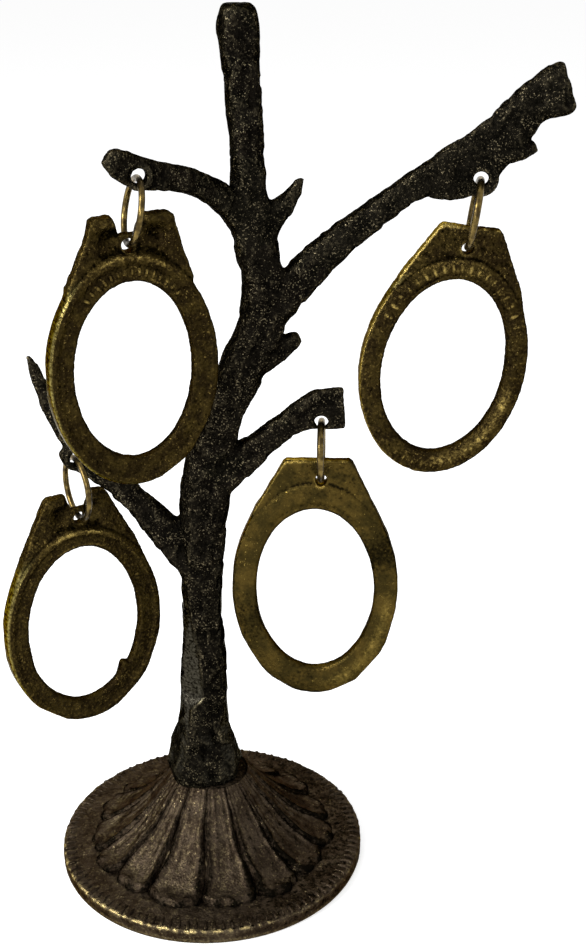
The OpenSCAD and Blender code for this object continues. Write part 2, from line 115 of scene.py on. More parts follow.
def turned(degrees: float, axis: str) -> Matrix:
    """Gives the matrix of a turn about an axis."""
    return Matrix.Rotation(math.radians(degrees), 4, axis)


def moved(x: float, y: float, z: float) -> Matrix:
    """Gives the matrix of a move in millimetres."""
    return Matrix.Translation((x * MM, y * MM, z * MM))


def add_node(tree: NodeTree, kind: str, settings: dict | None = None, inputs: dict | None = None,
             output: int | str = 0) -> NodeSocket | None:
    """Adds a node to a tree, with its settings and its inputs.

    Args:
        tree: The shader or geometry tree.
        kind: The node's type name.
        settings: Node properties by name.
        inputs: Constants or output sockets, by the input's name or index.
        output: Name or number of the output that is wanted.

    Returns:
        That output, or None from a node that has none.
    """
    node = tree.nodes.new(kind)
    for name, value in (settings or {}).items():
        setattr(node, name, value)
    for key, value in (inputs or {}).items():
        if isinstance(value, NodeSocket):
            tree.links.new(value, node.inputs[key])
        else:
            node.inputs[key].default_value = value
    return node.outputs[output] if node.outputs else None


def add_chain(tree: NodeTree, known: dict, kind: str, setting: str, lines: tuple) -> None:
    """Adds nodes that work on each other's results, one for each line of a table.

    Args:
        tree: The shader or geometry tree.
        known: Sockets and constants by name, to which each result is added.
        kind: The type name of all the nodes.
        setting: Name of the property that a line's second entry sets.
        lines: For each node the name of its result, its setting and its inputs in order. An
            input that is a known name stands for what is known by it.
    """
    for name, value, *terms in lines:
        inputs = {place: known.get(term, term) for place, term in enumerate(terms)}
        known[name] = add_node(tree, kind, {setting: value}, inputs)


def new_material(name: str) -> tuple[Material, NodeTree]:
    """Makes a material with an empty tree, and gives both."""
    made = bpy.data.materials.new(name)
    made.use_nodes = True
    made.node_tree.nodes.clear()
    return made, made.node_tree


def new_tree(name: str, sockets: dict[str, str]) -> tuple[NodeTree, dict[str, NodeSocket]]:
    """Starts a geometry tree that takes and gives one geometry.

    Args:
        name: The tree's name.
        sockets: Kind of each further input, by its label.

    Returns:
        The tree, and the sockets of what it is given, by label.
    """
    tree = bpy.data.node_groups.new(name, "GeometryNodeTree")
    tree.interface.new_socket("Geometry", in_out="INPUT", socket_type="NodeSocketGeometry")
    for label, kind in sockets.items():
        tree.interface.new_socket(label, in_out="INPUT", socket_type="NodeSocket" + kind)
    tree.interface.new_socket("Geometry", in_out="OUTPUT", socket_type="NodeSocketGeometry")
    given = tree.nodes.new("NodeGroupInput")
    return tree, {socket.name: socket for socket in given.outputs if socket.name}


def end_tree(tree: NodeTree, given: dict[str, NodeSocket], shape: NodeSocket) -> NodeTree:
    """Realizes the instances, sets the material and ends the tree.

    Args:
        tree: The geometry tree.
        given: What the tree is given, a Material among it.
        shape: The socket that holds the finished geometry.

    Returns:
        The tree.
    """
    real = add_node(tree, "GeometryNodeRealizeInstances", inputs={0: shape})
    coat = add_node(tree, "GeometryNodeSetMaterial", inputs={"Geometry": real, "Material": given["Material"]})
    add_node(tree, "NodeGroupOutput", inputs={0: coat})
    return tree


def grow(piece: Object, tree: NodeTree, values: dict) -> Object:
    """Runs a geometry tree on a piece and keeps the result as its plain mesh.

    Args:
        piece: The object whose mesh the tree takes.
        tree: The geometry tree.
        values: Value of each input, by its label.

    Returns:
        The same object, with the result as its mesh and no modifier.
    """
    modifier = piece.modifiers.new(tree.name, "NODES")
    modifier.node_group = tree
    for item in tree.interface.items_tree:
        if item.in_out == "INPUT" and item.name in values:
            modifier[item.identifier] = values[item.name]
    return settle(piece)


def settle(piece: Object) -> Object:
    """Applies every modifier of a piece by keeping its evaluated mesh."""
    graph = bpy.context.evaluated_depsgraph_get()
    mesh = bpy.data.meshes.new_from_object(piece.evaluated_get(graph), depsgraph=graph)
    piece.modifiers.clear()
    piece.data = mesh
    mesh.name = piece.name
    return piece


def put(name: str, data: ID, at: Matrix) -> Object:
    """Adds an object to the scene.

    Args:
        name: The object's name.
        data: Its mesh, camera or lamp.
        at: Its place and turn.

    Returns:
        The object.
    """
    made = bpy.data.objects.new(name, data)
    made.matrix_world = at
    bpy.context.scene.collection.objects.link(made)
    return made


def new_piece(name: str, points: np.ndarray, faces: list) -> Object:
    """Makes an object from points in millimetres.

    Args:
        name: The piece's name.
        points: Its points, one row each.
        faces: Its faces, as tuples of point numbers.

    Returns:
        The object, at the origin, with its mesh in metres.
    """
    mesh = bpy.data.meshes.new(name)
    mesh.from_pydata((np.asarray(points, float) * MM).tolist(), [], faces)
    mesh.update()
    return put(name, mesh, Matrix.Identity(4))


def face_outwards(piece: Object, merge: float = 1e-7) -> None:
    """Merges doubled points of a piece and turns its faces outwards.

    Args:
        piece: The object.
        merge: Largest distance between points that become one, in metres.
    """
    work = bmesh.new()
    work.from_mesh(piece.data)
    bmesh.ops.remove_doubles(work, verts=work.verts, dist=merge)
    bmesh.ops.recalc_face_normals(work, faces=work.faces)
    work.to_mesh(piece.data)
    work.free()


def grid_faces(rows: int, columns: int, closed: bool, endless: bool = False) -> list[tuple[int, int, int, int]]:
    """Lists the quads of a grid of points.

    Args:
        rows: Rows of points.
        columns: Points in each row.
        closed: Whether each row joins up with itself.
        endless: Whether the last row joins up with the first.

    Returns:
        Four point numbers for each quad.
    """
    return [(r * columns + c, r * columns + (c + 1) % columns,
             (r + 1) % rows * columns + (c + 1) % columns, (r + 1) % rows * columns + c)
            for r in range(rows if endless else rows - 1) for c in range(columns if closed else columns - 1)]


def read_rows(items: bpy_prop_collection, name: str) -> np.ndarray:
    """Gives one vector of each item of a mesh, one row each."""
    flat = np.empty(len(items) * 3, np.float32)
    items.foreach_get(name, flat)
    return flat.reshape(-1, 3).astype(float)


def read_points(mesh: Mesh) -> np.ndarray:
    """Gives a mesh's points in millimetres, one row each."""
    return read_rows(mesh.vertices, "co") / MM


def write_points(mesh: Mesh, points: np.ndarray) -> None:
    """Puts points in millimetres back into a mesh."""
    mesh.vertices.foreach_set("co", (points * MM).astype(np.float32).ravel())
    mesh.update()


def read_normals(mesh: Mesh) -> np.ndarray:
    """Gives a mesh's point normals, one row each."""
    return read_rows(mesh.vertex_normals, "vector")


def averaged(mesh: Mesh, values: np.ndarray, rounds: int) -> np.ndarray:
    """Averages values over neighbouring points, several times.

    Args:
        mesh: The mesh whose edges join the neighbours.
        values: One row for each point.
        rounds: How often the values are averaged.

    Returns:
        The averaged values.
    """
    flat = np.empty(len(mesh.edges) * 2, np.int32)
    mesh.edges.foreach_get("vertices", flat)
    near, far = flat.reshape(-1, 2).T
    count = len(values)
    joined = np.maximum(np.bincount(near, minlength=count) + np.bincount(far, minlength=count), 1)
    for _ in range(rounds):
        total = np.stack([np.bincount(near, values[far, k], count) + np.bincount(far, values[near, k], count)
                          for k in range(values.shape[1])], axis=1)
        values = total / joined[:, None]
    return values


def mark(piece: Object, name: str, values: np.ndarray) -> None:
    """Stores one number for each point of a piece as a named attribute."""
    mesh = piece.data
    held = mesh.attributes.get(name) or mesh.attributes.new(name, "FLOAT", "POINT")
    held.data.foreach_set("value", np.clip(values, 0, 1).astype(np.float32))


def mark_rubbed(piece: Object, reach: int, depth: float) -> None:
    """Stores how far each point stands out of its surroundings, as the attribute rub.

    A hand that polishes a patinated casting bares its ridges and leaves its hollows dark. The
    attribute is 0.5 on an even surface, towards 1 on a ridge and towards 0 in a hollow. Later
    steps add painted shade and highlights to it on the foot and the frames.

    Args:
        piece: The object.
        reach: Rounds of averaging that give the surroundings.
        depth: Height over the surroundings that counts as fully bared, in millimetres.
    """
    mesh = piece.data
    points = read_points(mesh)
    height = ((points - averaged(mesh, points, reach)) * read_normals(mesh)).sum(axis=1)
    mark(piece, "rub", 0.5 + 0.5 * height / depth)


@dataclass(frozen=True)
class CastPatina:
    """Cast metal under a chemical patina, rubbed back to metal on its ridges.

    The sand mould leaves a grainy skin with small pits, the patina is darkest in the hollows, and
    single grains get painted glints. Faces that were filed are smooth, with slanting strokes, and
    their lighter tone also paints highlight and sheen. Widths are in millimetres, and the numbers
    that say where a layer begins are of the attribute rub.
    """

    name: str
    hollow: str
    even: str
    tint: str
    crest_and_glint: str
    bare: str
    filed: str
    speck_from: float
    bump_mm: float
    rub_from: float
    rub_to: float
    rough: float
    crest: float
    blotch_mm: float = 4.5
    grain_mm: float = 0.6
    speck_mm: float = 0.45
    cluster_mm: float = 2.8
    grain_tone: float = 1.2
    graze: str = "#8f886e"
    stroke_mm: float = 0.5

    def material(self) -> Material:
        """Builds the finish as a procedural material on Object coordinates."""
        made, tree = new_material(self.name)
        place = add_node(tree, "ShaderNodeTexCoord", output="Object")
        # File strokes run down and forwards across a wall that looks sideways.
        slanting = add_node(tree, "ShaderNodeMapping", inputs={
            "Vector": place, "Rotation": (0.65, 0.0, 0.0), "Scale": (1.0, 0.06, 1.0)})
        known = {tone: linear(getattr(self, tone)) for tone in ("hollow", "even", "tint", "crest_and_glint", "bare")}
        known["file"] = linear(self.filed)
        for name in ("rub", "filed"):
            known[name] = add_node(tree, "ShaderNodeAttribute", {"attribute_name": name}, output="Fac")
        for name, where, width, detail in (
                ("blotch", place, self.blotch_mm, 5.0), ("grain", place, self.grain_mm, 3.0),
                ("fine", place, self.speck_mm, 1.0), ("cluster", place, self.cluster_mm, 2.0),
                ("stroke", slanting, self.stroke_mm, 2.0)):
            known[name] = add_node(tree, NOISE, inputs={
                "Vector": where, "Scale": 1 / (width * MM), "Detail": detail, "Roughness": 0.65})
        # Low ground is dark and its crests are rubbed a little; high ground is bare, broken up by
        # the same grain. Single grains get painted glints, in clusters, and more of them where rubbed.
        # The pits are as deep as the grain, the blotches lift the skin a little, a file levels both.
        add_chain(tree, known, MATHS, "operation", (
            ("low", "MULTIPLY_ADD", "grain", self.grain_tone, "rub"),
            ("high", "MULTIPLY_ADD", "grain", 0.6, "rub"),
            ("near", "MULTIPLY_ADD", "cluster", 0.34, "fine"),
            ("lit", "MULTIPLY_ADD", "rub", 0.16, "near"),
            ("lifted", "MULTIPLY_ADD", "blotch", 0.8, "grain"),
            ("pits", "ADD", "lifted", "fine"),
            ("lines", "MULTIPLY", "stroke", 0.35)))
        level = 0.5 + 0.5 * self.grain_tone
        add_chain(tree, known, RANGE, "interpolation_type", (
            ("tinted", "SMOOTHSTEP", "blotch", 0.42, 0.62),
            ("open", "SMOOTHSTEP", "low", level - 0.42, level - 0.02),
            ("ridge", "SMOOTHSTEP", "low", level + 0.02, level + 0.42),
            ("worn", "SMOOTHSTEP", "high", self.rub_from + 0.3, self.rub_to + 0.3),
            ("spark", "SMOOTHSTEP", "lit", self.speck_from + 0.25, self.speck_from + 0.37),
            ("lined", "SMOOTHSTEP", "stroke", 0.30, 0.72)))
        add_chain(tree, known, MATHS, "operation", (
            ("crested", "MULTIPLY", "ridge", self.crest),
            ("shining", "MAXIMUM", "worn", "spark"),
            ("shine", "MAXIMUM", "shining", "filed")))
        # Each layer of colour lies over the one below by its share.
        for name, share, below, above in (
                ("ground", "tinted", "even", "tint"), ("dark", "open", "hollow", "ground"),
                ("shaded", "crested", "dark", "crest_and_glint"), ("speckled", "spark", "shaded", "crest_and_glint"),
                ("cast", "worn", "speckled", "bare"), ("smooth", "lined", "ground", "file"),
                ("colour", "filed", "cast", "smooth")):
            known[name] = add_node(tree, MIX, {"data_type": "RGBA"}, {
                "Factor": known[share], 6: known[below], 7: known[above]}, output=2)
        rough = add_node(tree, RANGE, inputs={
            "Value": known["shine"], "To Min": self.rough + 0.10, "To Max": self.rough - 0.10})
        relief = add_node(tree, MIX, {"data_type": "FLOAT"}, {
            0: known["filed"], 2: known["pits"], 3: known["lines"]})
        bump = add_node(tree, "ShaderNodeBump", inputs={
            "Height": relief, "Distance": self.bump_mm * MM, "Strength": 1.0})
        # A patina swallows light that grazes it, where bare metal would turn white.
        shader = add_node(tree, "ShaderNodeBsdfPrincipled", inputs={
            "Base Color": known["colour"], "Metallic": 1.0, "Roughness": rough,
            "Specular Tint": linear(self.graze), "Normal": bump})
        add_node(tree, "ShaderNodeOutputMaterial", inputs={"Surface": shader})
        return made


@dataclass(frozen=True)
class DrawnWire:
    """Drawn metal with fine lines along its draw, darkened by age or plated with zinc."""

    name: str
    bright: str
    dark: str
    rough: float
    patch_mm: float = 1.6

    def material(self) -> Material:
        """Builds the finish as a procedural material on Object coordinates."""
        made, tree = new_material(self.name)
        place = add_node(tree, "ShaderNodeTexCoord", output="Object")
        patch = add_node(tree, NOISE, inputs={"Vector": place, "Scale": 1 / (self.patch_mm * MM), "Detail": 4.0})
        share = add_node(tree, RANGE, {"interpolation_type": "SMOOTHSTEP"}, {
            "Value": patch, "From Min": 0.38, "From Max": 0.62})
        colour = add_node(tree, MIX, {"data_type": "RGBA"}, {
            "Factor": share, 6: linear(self.dark), 7: linear(self.bright)}, output=2)
        rough = add_node(tree, RANGE, inputs={"Value": share, "To Min": self.rough + 0.15, "To Max": self.rough})
        bump = add_node(tree, "ShaderNodeBump", inputs={"Height": patch, "Distance": 0.03 * MM})
        shader = add_node(tree, "ShaderNodeBsdfPrincipled", inputs={
            "Base Color": colour, "Metallic": 1.0, "Roughness": rough, "Normal": bump})
        add_node(tree, "ShaderNodeOutputMaterial", inputs={"Surface": shader})
        return made


# Sand-cast alloy with a near-black sulphide patina: a grey sheen painted on filed and side faces, painted pin-point
# glints.
TREE_PATINA = CastPatina("tree_black_patina", hollow="#010100", even="#090806", tint="#12100c", crest_and_glint="#5f5743",
                         bare="#8d8468", filed="#403d34", rub_from=0.84, rub_to=1.06, rough=0.36, speck_from=0.625,
                         crest=0.25, bump_mm=0.18, speck_mm=0.38, graze="#88857a")
# The same alloy under a brown patina, rubbed to warm metal along the ridges and the rim, where a highlight is painted
# at the front left.
FOOT_PATINA = CastPatina("foot_brown_patina", hollow="#0a0805", even="#2a221a", tint="#3a3127", crest_and_glint="#6a5e45",
                         bare="#9c8a5e", filed="#5a5344", rub_from=0.78, rub_to=1.02, rough=0.34, speck_from=0.65,
                         crest=0.55, bump_mm=0.18, grain_tone=1.15, graze="#a39c88")
# Yellow alloy under an olive-brown patina, golden where it is worn and where highlights are painted.
FRAME_PATINA = CastPatina("frame_olive_patina", hollow="#070501", even="#1f180b", tint="#302711", crest_and_glint="#65552c",
                          bare="#948046", filed="#877c48", blotch_mm=3.4, grain_mm=0.5, rub_from=0.80,
                          rub_to=1.04, rough=0.30, speck_from=0.655, bump_mm=0.20, crest=0.6, grain_tone=1.3)
# The same patina, worn smooth in soft patches by handling, which shines golden and green-black in turn.
WORN_PATINA = CastPatina("frame_worn_patina", hollow="#100d05", even="#302811", tint="#453818", crest_and_glint="#75632f",
                         bare="#88733a", filed="#6a5f32", blotch_mm=5.0, grain_mm=0.7, rub_from=0.80,
                         rub_to=1.04, rough=0.24, speck_from=0.69, bump_mm=0.12, crest=0.5, grain_tone=0.9)
# Brass wire, gone brown where hands don't reach.
RING_WIRE = DrawnWire("ring_aged_brass_wire", bright="#6e5d34", dark="#3f341e", rough=0.24)
# Zinc-plated steel of the screw and its washer.
ZINC_STEEL = DrawnWire("screw_zinc_plated_steel", bright="#a3a6a8", dark="#7d8184", patch_mm=3.0, rough=0.38)


def petal_ring_tree() -> NodeTree:
    """Builds the tree that repeats one petal round the foot and joins the petals up."""
    tree, given = new_tree("petal_ring", {
        "Count": "Int", "First Angle": "Float", "Merge": "Float", "Material": "Material"})
    known = {"index": add_node(tree, "GeometryNodeInputIndex"), **given}
    add_chain(tree, known, MATHS, "operation", (
        ("share", "DIVIDE", "index", "Count"),
        ("angle", "MULTIPLY_ADD", "share", math.tau, "First Angle")))
    turn = add_node(tree, "ShaderNodeCombineXYZ", inputs={2: known["angle"]})
    points = add_node(tree, "GeometryNodePoints", inputs={"Count": given["Count"]})
    spread = add_node(tree, "GeometryNodeInstanceOnPoints", inputs={
        "Points": points, "Instance": given["Geometry"], "Rotation": turn})
    real = add_node(tree, "GeometryNodeRealizeInstances", inputs={0: spread})
    merged = add_node(tree, "GeometryNodeMergeByDistance", inputs={"Geometry": real, "Distance": given["Merge"]})
    return end_tree(tree, given, merged)


def row_on_oval_tree() -> NodeTree:
    """Builds the tree that sets a small raised form in a row along an oval."""
    tree, given = new_tree("row_on_oval", {
        "Count": "Int", "Half Width": "Float", "Half Height": "Float", "Start": "Float",
        "Sweep": "Float", "Lean": "Float", "Spread": "Float", "Seed": "Int", "Material": "Material"})
    known = {"index": add_node(tree, "GeometryNodeInputIndex"), **given}
    # The form looks along the oval's normal, which is (cos * b, sin * a).
    add_chain(tree, known, MATHS, "operation", (
        ("share", "DIVIDE", "index", "Count"),
        ("angle", "MULTIPLY_ADD", "share", "Sweep", "Start"),
        ("cosine", "COSINE", "angle"),
        ("sine", "SINE", "angle"),
        ("across", "MULTIPLY", "cosine", "Half Width"),
        ("along", "MULTIPLY", "sine", "Half Height"),
        ("out_x", "MULTIPLY", "cosine", "Half Height"),
        ("out_y", "MULTIPLY", "sine", "Half Width"),
        ("normal", "ARCTAN2", "out_y", "out_x"),
        ("least", "SUBTRACT", 1.0, "Spread"),
        ("most", "ADD", 1.0, "Spread")))
    known["size"] = add_node(tree, "FunctionNodeRandomValue", {"data_type": "FLOAT"}, {
        2: known["least"], 3: known["most"], "Seed": given["Seed"]}, output=1)
    add_chain(tree, known, MATHS, "operation", (
        ("sway", "SUBTRACT", "size", 1.0),
        ("lean", "MULTIPLY_ADD", "sway", "Lean", "normal")))
    spot = add_node(tree, "ShaderNodeCombineXYZ", inputs={0: known["across"], 1: known["along"]})
    turn = add_node(tree, "ShaderNodeCombineXYZ", inputs={2: known["lean"]})
    points = add_node(tree, "GeometryNodePoints", inputs={"Count": given["Count"], "Position": spot})
    spread = add_node(tree, "GeometryNodeInstanceOnPoints", inputs={
        "Points": points, "Instance": given["Geometry"], "Rotation": turn, "Scale": known["size"]})
    return end_tree(tree, given, spread)


def sand_skin_tree() -> NodeTree:
    """Builds the tree that lifts and sinks a casting's skin where its attribute skin allows."""
    tree, given = new_tree("sand_skin", {
        "Lump Scale": "Float", "Lump Height": "Float", "Grain Scale": "Float", "Grain Height": "Float",
        "Seed": "Float", "Material": "Material"})
    normal = add_node(tree, "GeometryNodeInputNormal")
    allowed = add_node(tree, "GeometryNodeInputNamedAttribute", {"data_type": "FLOAT"}, {"Name": "skin"})
    known = {"allowed": allowed, **given}
    for name in ("Lump", "Grain"):
        known[name] = add_node(tree, NOISE, {"noise_dimensions": "4D"}, {
            "W": given["Seed"], "Scale": given[name + " Scale"], "Detail": 2.0})
    add_chain(tree, known, MATHS, "operation", (
        ("lump middle", "SUBTRACT", "Lump", 0.5),
        ("lump lift", "MULTIPLY", "lump middle", "Lump Height"),
        ("grain middle", "SUBTRACT", "Grain", 0.5),
        ("grain lift", "MULTIPLY", "grain middle", "Grain Height"),
        ("lift", "ADD", "lump lift", "grain lift"),
        ("held", "MULTIPLY", "lift", "allowed")))
    offset = add_node(tree, "ShaderNodeVectorMath", {"operation": "SCALE"}, {0: normal, "Scale": known["held"]})
    uneven = add_node(tree, "GeometryNodeSetPosition", inputs={"Geometry": given["Geometry"], "Offset": offset})
    return end_tree(tree, given, uneven)


def wire_ring_tree() -> NodeTree:
    """Builds the tree that bends a round wire to a split ring."""
    tree, given = new_tree("wire_ring", {
        "Ring Radius": "Float", "Wire Radius": "Float", "Split": "Float", "Material": "Material"})
    known = dict(given)
    add_chain(tree, known, MATHS, "operation", (
        ("sweep", "SUBTRACT", math.tau, "Split"),
        ("start", "MULTIPLY", "Split", 0.5)))
    arc = add_node(tree, "GeometryNodeCurveArc", {"mode": "RADIUS"}, {
        "Resolution": 120, "Radius": given["Ring Radius"],
        "Start Angle": known["start"], "Sweep Angle": known["sweep"]})
    wire = add_node(tree, "GeometryNodeCurvePrimitiveCircle", {"mode": "RADIUS"}, {
        "Resolution": 28, "Radius": given["Wire Radius"]})
    tube = add_node(tree, "GeometryNodeCurveToMesh", inputs={
        "Curve": arc, "Profile Curve": wire, "Fill Caps": True})
    return end_tree(tree, given, tube)


def keep_inside(piece: Object, name: str) -> None:
    """Holds a finished mesh inside the box of the solid of that name."""
    low, high = (np.array(corner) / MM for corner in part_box(name))
    write_points(piece.data, np.clip(read_points(piece.data), low, high))


def read_mark(piece: Object, name: str) -> np.ndarray:
    """Gives the values of a point attribute."""
    values = np.empty(len(piece.data.vertices), np.float32)
    piece.data.attributes[name].data.foreach_get("value", values)
    return values


@dataclass
class Workshop:
    """The trees and materials that the sub-assemblies share."""

    petals: NodeTree = field(default_factory=petal_ring_tree)
    row: NodeTree = field(default_factory=row_on_oval_tree)
    skin: NodeTree = field(default_factory=sand_skin_tree)
    wire: NodeTree = field(default_factory=wire_ring_tree)
    tree_metal: Material = field(default_factory=TREE_PATINA.material)
    foot_metal: Material = field(default_factory=FOOT_PATINA.material)
    frame_metal: Material = field(default_factory=FRAME_PATINA.material)
    worn_metal: Material = field(default_factory=WORN_PATINA.material)
    ring_metal: Material = field(default_factory=RING_WIRE.material)
    screw_metal: Material = field(default_factory=ZINC_STEEL.material)

    def sand(self, piece: Object, lump: tuple[float, float], grain: tuple[float, float],
             seed: float, metal: Material, calm: np.ndarray | None = None) -> None:
        """Gives a casting its uneven skin.

        Args:
            piece: The casting.
            lump: Width and height of its soft unevenness, in millimetres.
            grain: Width and height of its fine grain, in millimetres.
            seed: Place of the pattern in the noise.
            metal: The material.
            calm: Share of the skin's height at each point, or None for all of it.
        """
        mark(piece, "skin", np.ones(len(piece.data.vertices)) if calm is None else calm)
        grow(piece, self.skin, {
            "Lump Scale": 1 / (lump[0] * MM), "Lump Height": 2 * lump[1] * MM,
            "Grain Scale": 1 / (grain[0] * MM), "Grain Height": 2 * grain[1] * MM,
            "Seed": seed, "Material": metal})

    def repeat(self, piece: Object, count: int, half: tuple[float, float], span: tuple[float, float],
               spread: float, seed: int, metal: Material) -> None:
        """Sets a small raised form in a row along an oval.

        Args:
            piece: The form, which becomes the row.
            count: How often it stands in the row.
            half: The oval's half width and half height, in millimetres.
            span: The row's first direction and its sweep, in degrees.
            spread: How much the sizes differ, as a share.
            seed: Seed of the differences.
            metal: The material.
        """
        grow(piece, self.row, {
            "Count": count, "Half Width": half[0] * MM, "Half Height": half[1] * MM,
            "Start": math.radians(span[0]), "Sweep": math.radians(span[1]), "Lean": 0.5,
            "Spread": spread, "Seed": seed, "Material": metal})

    def dress(self, piece: Object, body: str, slot: str, stands_for: str | None = None) -> None:
        """Shades a finished piece smooth and hands it to its body.

        Args:
            piece: The finished piece.
            body: The body that it rides on.
            slot: The record's material slot; not used.
            stands_for: The CAD node that it replaces, if any.
        """
        piece.data.polygons.foreach_set("use_smooth", [True] * len(piece.data.polygons))
        piece.data.update()
        if stands_for:
            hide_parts(stands_for)
        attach(piece, body)
        log.info("%s: %d points on %s", piece.name, len(piece.data.vertices), body)


def lathe(name: str, profile: list[tuple[float, float]], steps: int) -> Object:
    """Turns a closed profile round the upright axis.

    Args:
        name: The piece's name.
        profile: Radius and height of each corner, in millimetres, all off the axis.
        steps: Steps round.

    Returns:
        The closed piece, with its faces outwards.
    """
    angles = np.arange(steps) * math.tau / steps
    points = [(r * math.cos(a), r * math.sin(a), z) for r, z in profile for a in angles]
    piece = new_piece(name, np.array(points), grid_faces(len(profile), steps, True, True))
    face_outwards(piece)
    return piece


def finely(profile: list[tuple[float, float]], step: float) -> list[tuple[float, float]]:
    """Adds points along a profile's lines.

    Args:
        profile: Radius and height of each corner.
        step: Longest distance between points, in millimetres.

    Returns:
        The profile with its added points.
    """
    fine = []
    for (r0, z0), (r1, z1) in zip(profile, profile[1:]):
        parts = max(1, math.ceil(math.hypot(r1 - r0, z1 - z0) / step))
        fine += [(r0 + (r1 - r0) * k / parts, z0 + (z1 - z0) * k / parts) for k in range(parts)]
    return fine + [profile[-1]]


@dataclass
class BellFoot:
    """The hollow bell foot: a plain band with nicks, and petals that rise to the neck."""

    shop: Workshop
    rim_h: float = 3.4
    band_rise: float = 0.5
    band_w: float = 6.6
    neck_r: float = 8.6
    wall: float = 2.4
    web: float = 5.0
    stand_w: float = 3.0
    petals: int = 15
    groove_d: float = 0.8
    rib_h: float = 0.65
    tip_h: float = 1.5
    # Directions of the grooves as the pattern maker spaced them, in degrees, and as an even row.
    spaced: tuple[float, ...] = (-187.0, -162.3, -142.6, -121.0, -92.5, -64.7, -40.4, -15.5, 5.0)
    even: tuple[float, ...] = (-187.0, -163.0, -139.0, -115.0, -91.0, -67.0, -43.0, -19.0, 5.0)
    nicks: int = 108
    steps_round: int = 480

    def __post_init__(self) -> None:
        """Takes the foot's radius and height from the frame."""
        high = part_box("base_foot")[1]
        self.base_r = high[0] / MM
        self.neck_h = high[2] / MM
        self.petal_r = self.base_r - self.band_w
        self.band_z = self.rim_h + self.band_rise

    def slope(self) -> list[tuple[float, float]]:
        """Lists radius and height along the band, from the petals' ends to the rim's edge."""
        return [(self.petal_r, self.band_z), (self.base_r - 2.4, self.rim_h + 0.15),
                (self.base_r - 0.5, self.rim_h - 0.02), (self.base_r - 0.12, self.rim_h - 0.2)]

    def shaded(self, points: np.ndarray) -> np.ndarray:
        """Gives how far each point lies on the right, as the share of painted shade on the foot's darker right side.
        """
        return step(points[:, 0], 2.0, 18.0)

    def bell(self, radius: np.ndarray) -> np.ndarray:
        """Gives the height of the petals' ground at a radius."""
        share = np.clip((self.petal_r - radius) / (self.petal_r - self.neck_r), 0, 1)
        ground = self.band_z + 0.55 * self.tip_h
        return ground + (self.neck_h - ground) * share ** 1.75

    def petal(self) -> Object:
        """Builds one petal as a grid, from groove to groove and from its end to the neck."""
        pitch = math.tau / self.petals
        quarter = np.linspace(0, math.pi / 2, 17)
        across = np.concatenate([-np.cos(quarter), np.sin(quarter)[1:]])
        along = np.concatenate([np.linspace(0, 0.16, 18), np.linspace(0.16, 1, 48)[1:]])
        u, s = np.meshgrid(across, along)
        edge = np.abs(u)
        end = self.petal_r - 1.5 * edge ** 2 - 1.3 * edge ** 8
        radius = end + (self.neck_r - end) * s
        angle = u * pitch / 2
        late = 1 - 0.45 * step(s, 0.6, 1.0)
        groove = np.clip((edge - 0.88) / 0.12, 0, 1) ** 1.2 * late
        pit = 0.7 * np.clip((edge - 0.82) / 0.18, 0, 1) * hump(s, 0.14, 0.06)
        rib = hump(edge, 0.77, 0.10) * late * step(s, 0.06, 0.2)
        flute = 0.4 * hump(edge, 0.34, 0.10) * step(s, 0.2, 0.5)
        scoop = 0.32 * np.clip(1 - (edge / 0.6) ** 2, 0, 1) * step(s, 0.12, 0.24) * (1 - step(s, 0.6, 0.9))
        height = self.bell(radius) + self.rib_h * (rib + flute) - self.groove_d * groove - pit - scoop
        bead = 0.5 * hump(s, 0.07, 0.045) * (1 - edge ** 4) * (0.8 + 0.2 * np.cos(9 * u + 1.0))
        round_end = np.sqrt(np.clip(1 - (1 - np.clip(s / 0.05, 0, 1)) ** 2, 0, 1))
        floor = self.band_z - 0.4
        height = floor + (height + bead - floor) * round_end
        points = np.stack([radius * np.cos(angle), radius * np.sin(angle), height], axis=-1)
        return new_piece("foot_petals", points.reshape(-1, 3),
                         [face[::-1] for face in grid_faces(len(along), len(across), False)])

    def uneven(self, points: np.ndarray) -> np.ndarray:
        """Moves the petals' grooves to the pattern's own spacing and lets them wander a little."""
        radius, turn = polar(points[:, 0], points[:, 1])
        angle = np.degrees(turn)
        angle = np.where(angle > 173, angle - 360, angle)
        angle = np.where(angle < self.even[-1], np.interp(angle, self.even, self.spaced), angle)
        turn = np.radians(angle)
        sway = 0.8 * np.sin(11 * turn + 0.30 * radius) + 0.6 * np.sin(17 * turn - 0.55 * radius + 2.0)
        turn += np.radians(sway) * step(self.petal_r - radius, 0.0, 6.0) * step(radius - self.neck_r, 0.5, 6.0)
        swell = radius + (0.4 * np.sin(7 * turn + 2.0) + 0.3 * np.sin(41 * turn)) * step(radius, 20.0, self.petal_r)
        return np.stack([swell * np.cos(turn), swell * np.sin(turn), points[:, 2]], axis=1)

    def build_petals(self) -> None:
        """Repeats the petal round the foot and gives it the cast skin."""
        piece = self.petal()
        half = math.pi / self.petals
        grow(piece, self.shop.petals, {
            "Count": self.petals, "First Angle": math.radians(self.even[4]) + half,
            "Merge": 0.02 * MM, "Material": self.shop.foot_metal})
        write_points(piece.data, self.uneven(read_points(piece.data)))
        points = read_points(piece.data)
        calm = step(np.hypot(points[:, 0], points[:, 1]), self.neck_r, self.neck_r + 1.5)
        self.shop.sand(piece, lump=(2.0, 0.36), grain=(0.8, 0.18), seed=3.0, metal=self.shop.foot_metal, calm=calm)
        mark_rubbed(piece, reach=12, depth=0.36)
        rub = np.maximum(0.5 + 0.8 * (read_mark(piece, "rub") - 0.5), 0.14)
        # Painted shade: points on the right of the foot are made darker.
        mark(piece, "rub", rub - 0.16 * self.shaded(points))
        keep_inside(piece, "base_foot")
        self.shop.dress(piece, "stand", "foot_bronze", "base_foot")

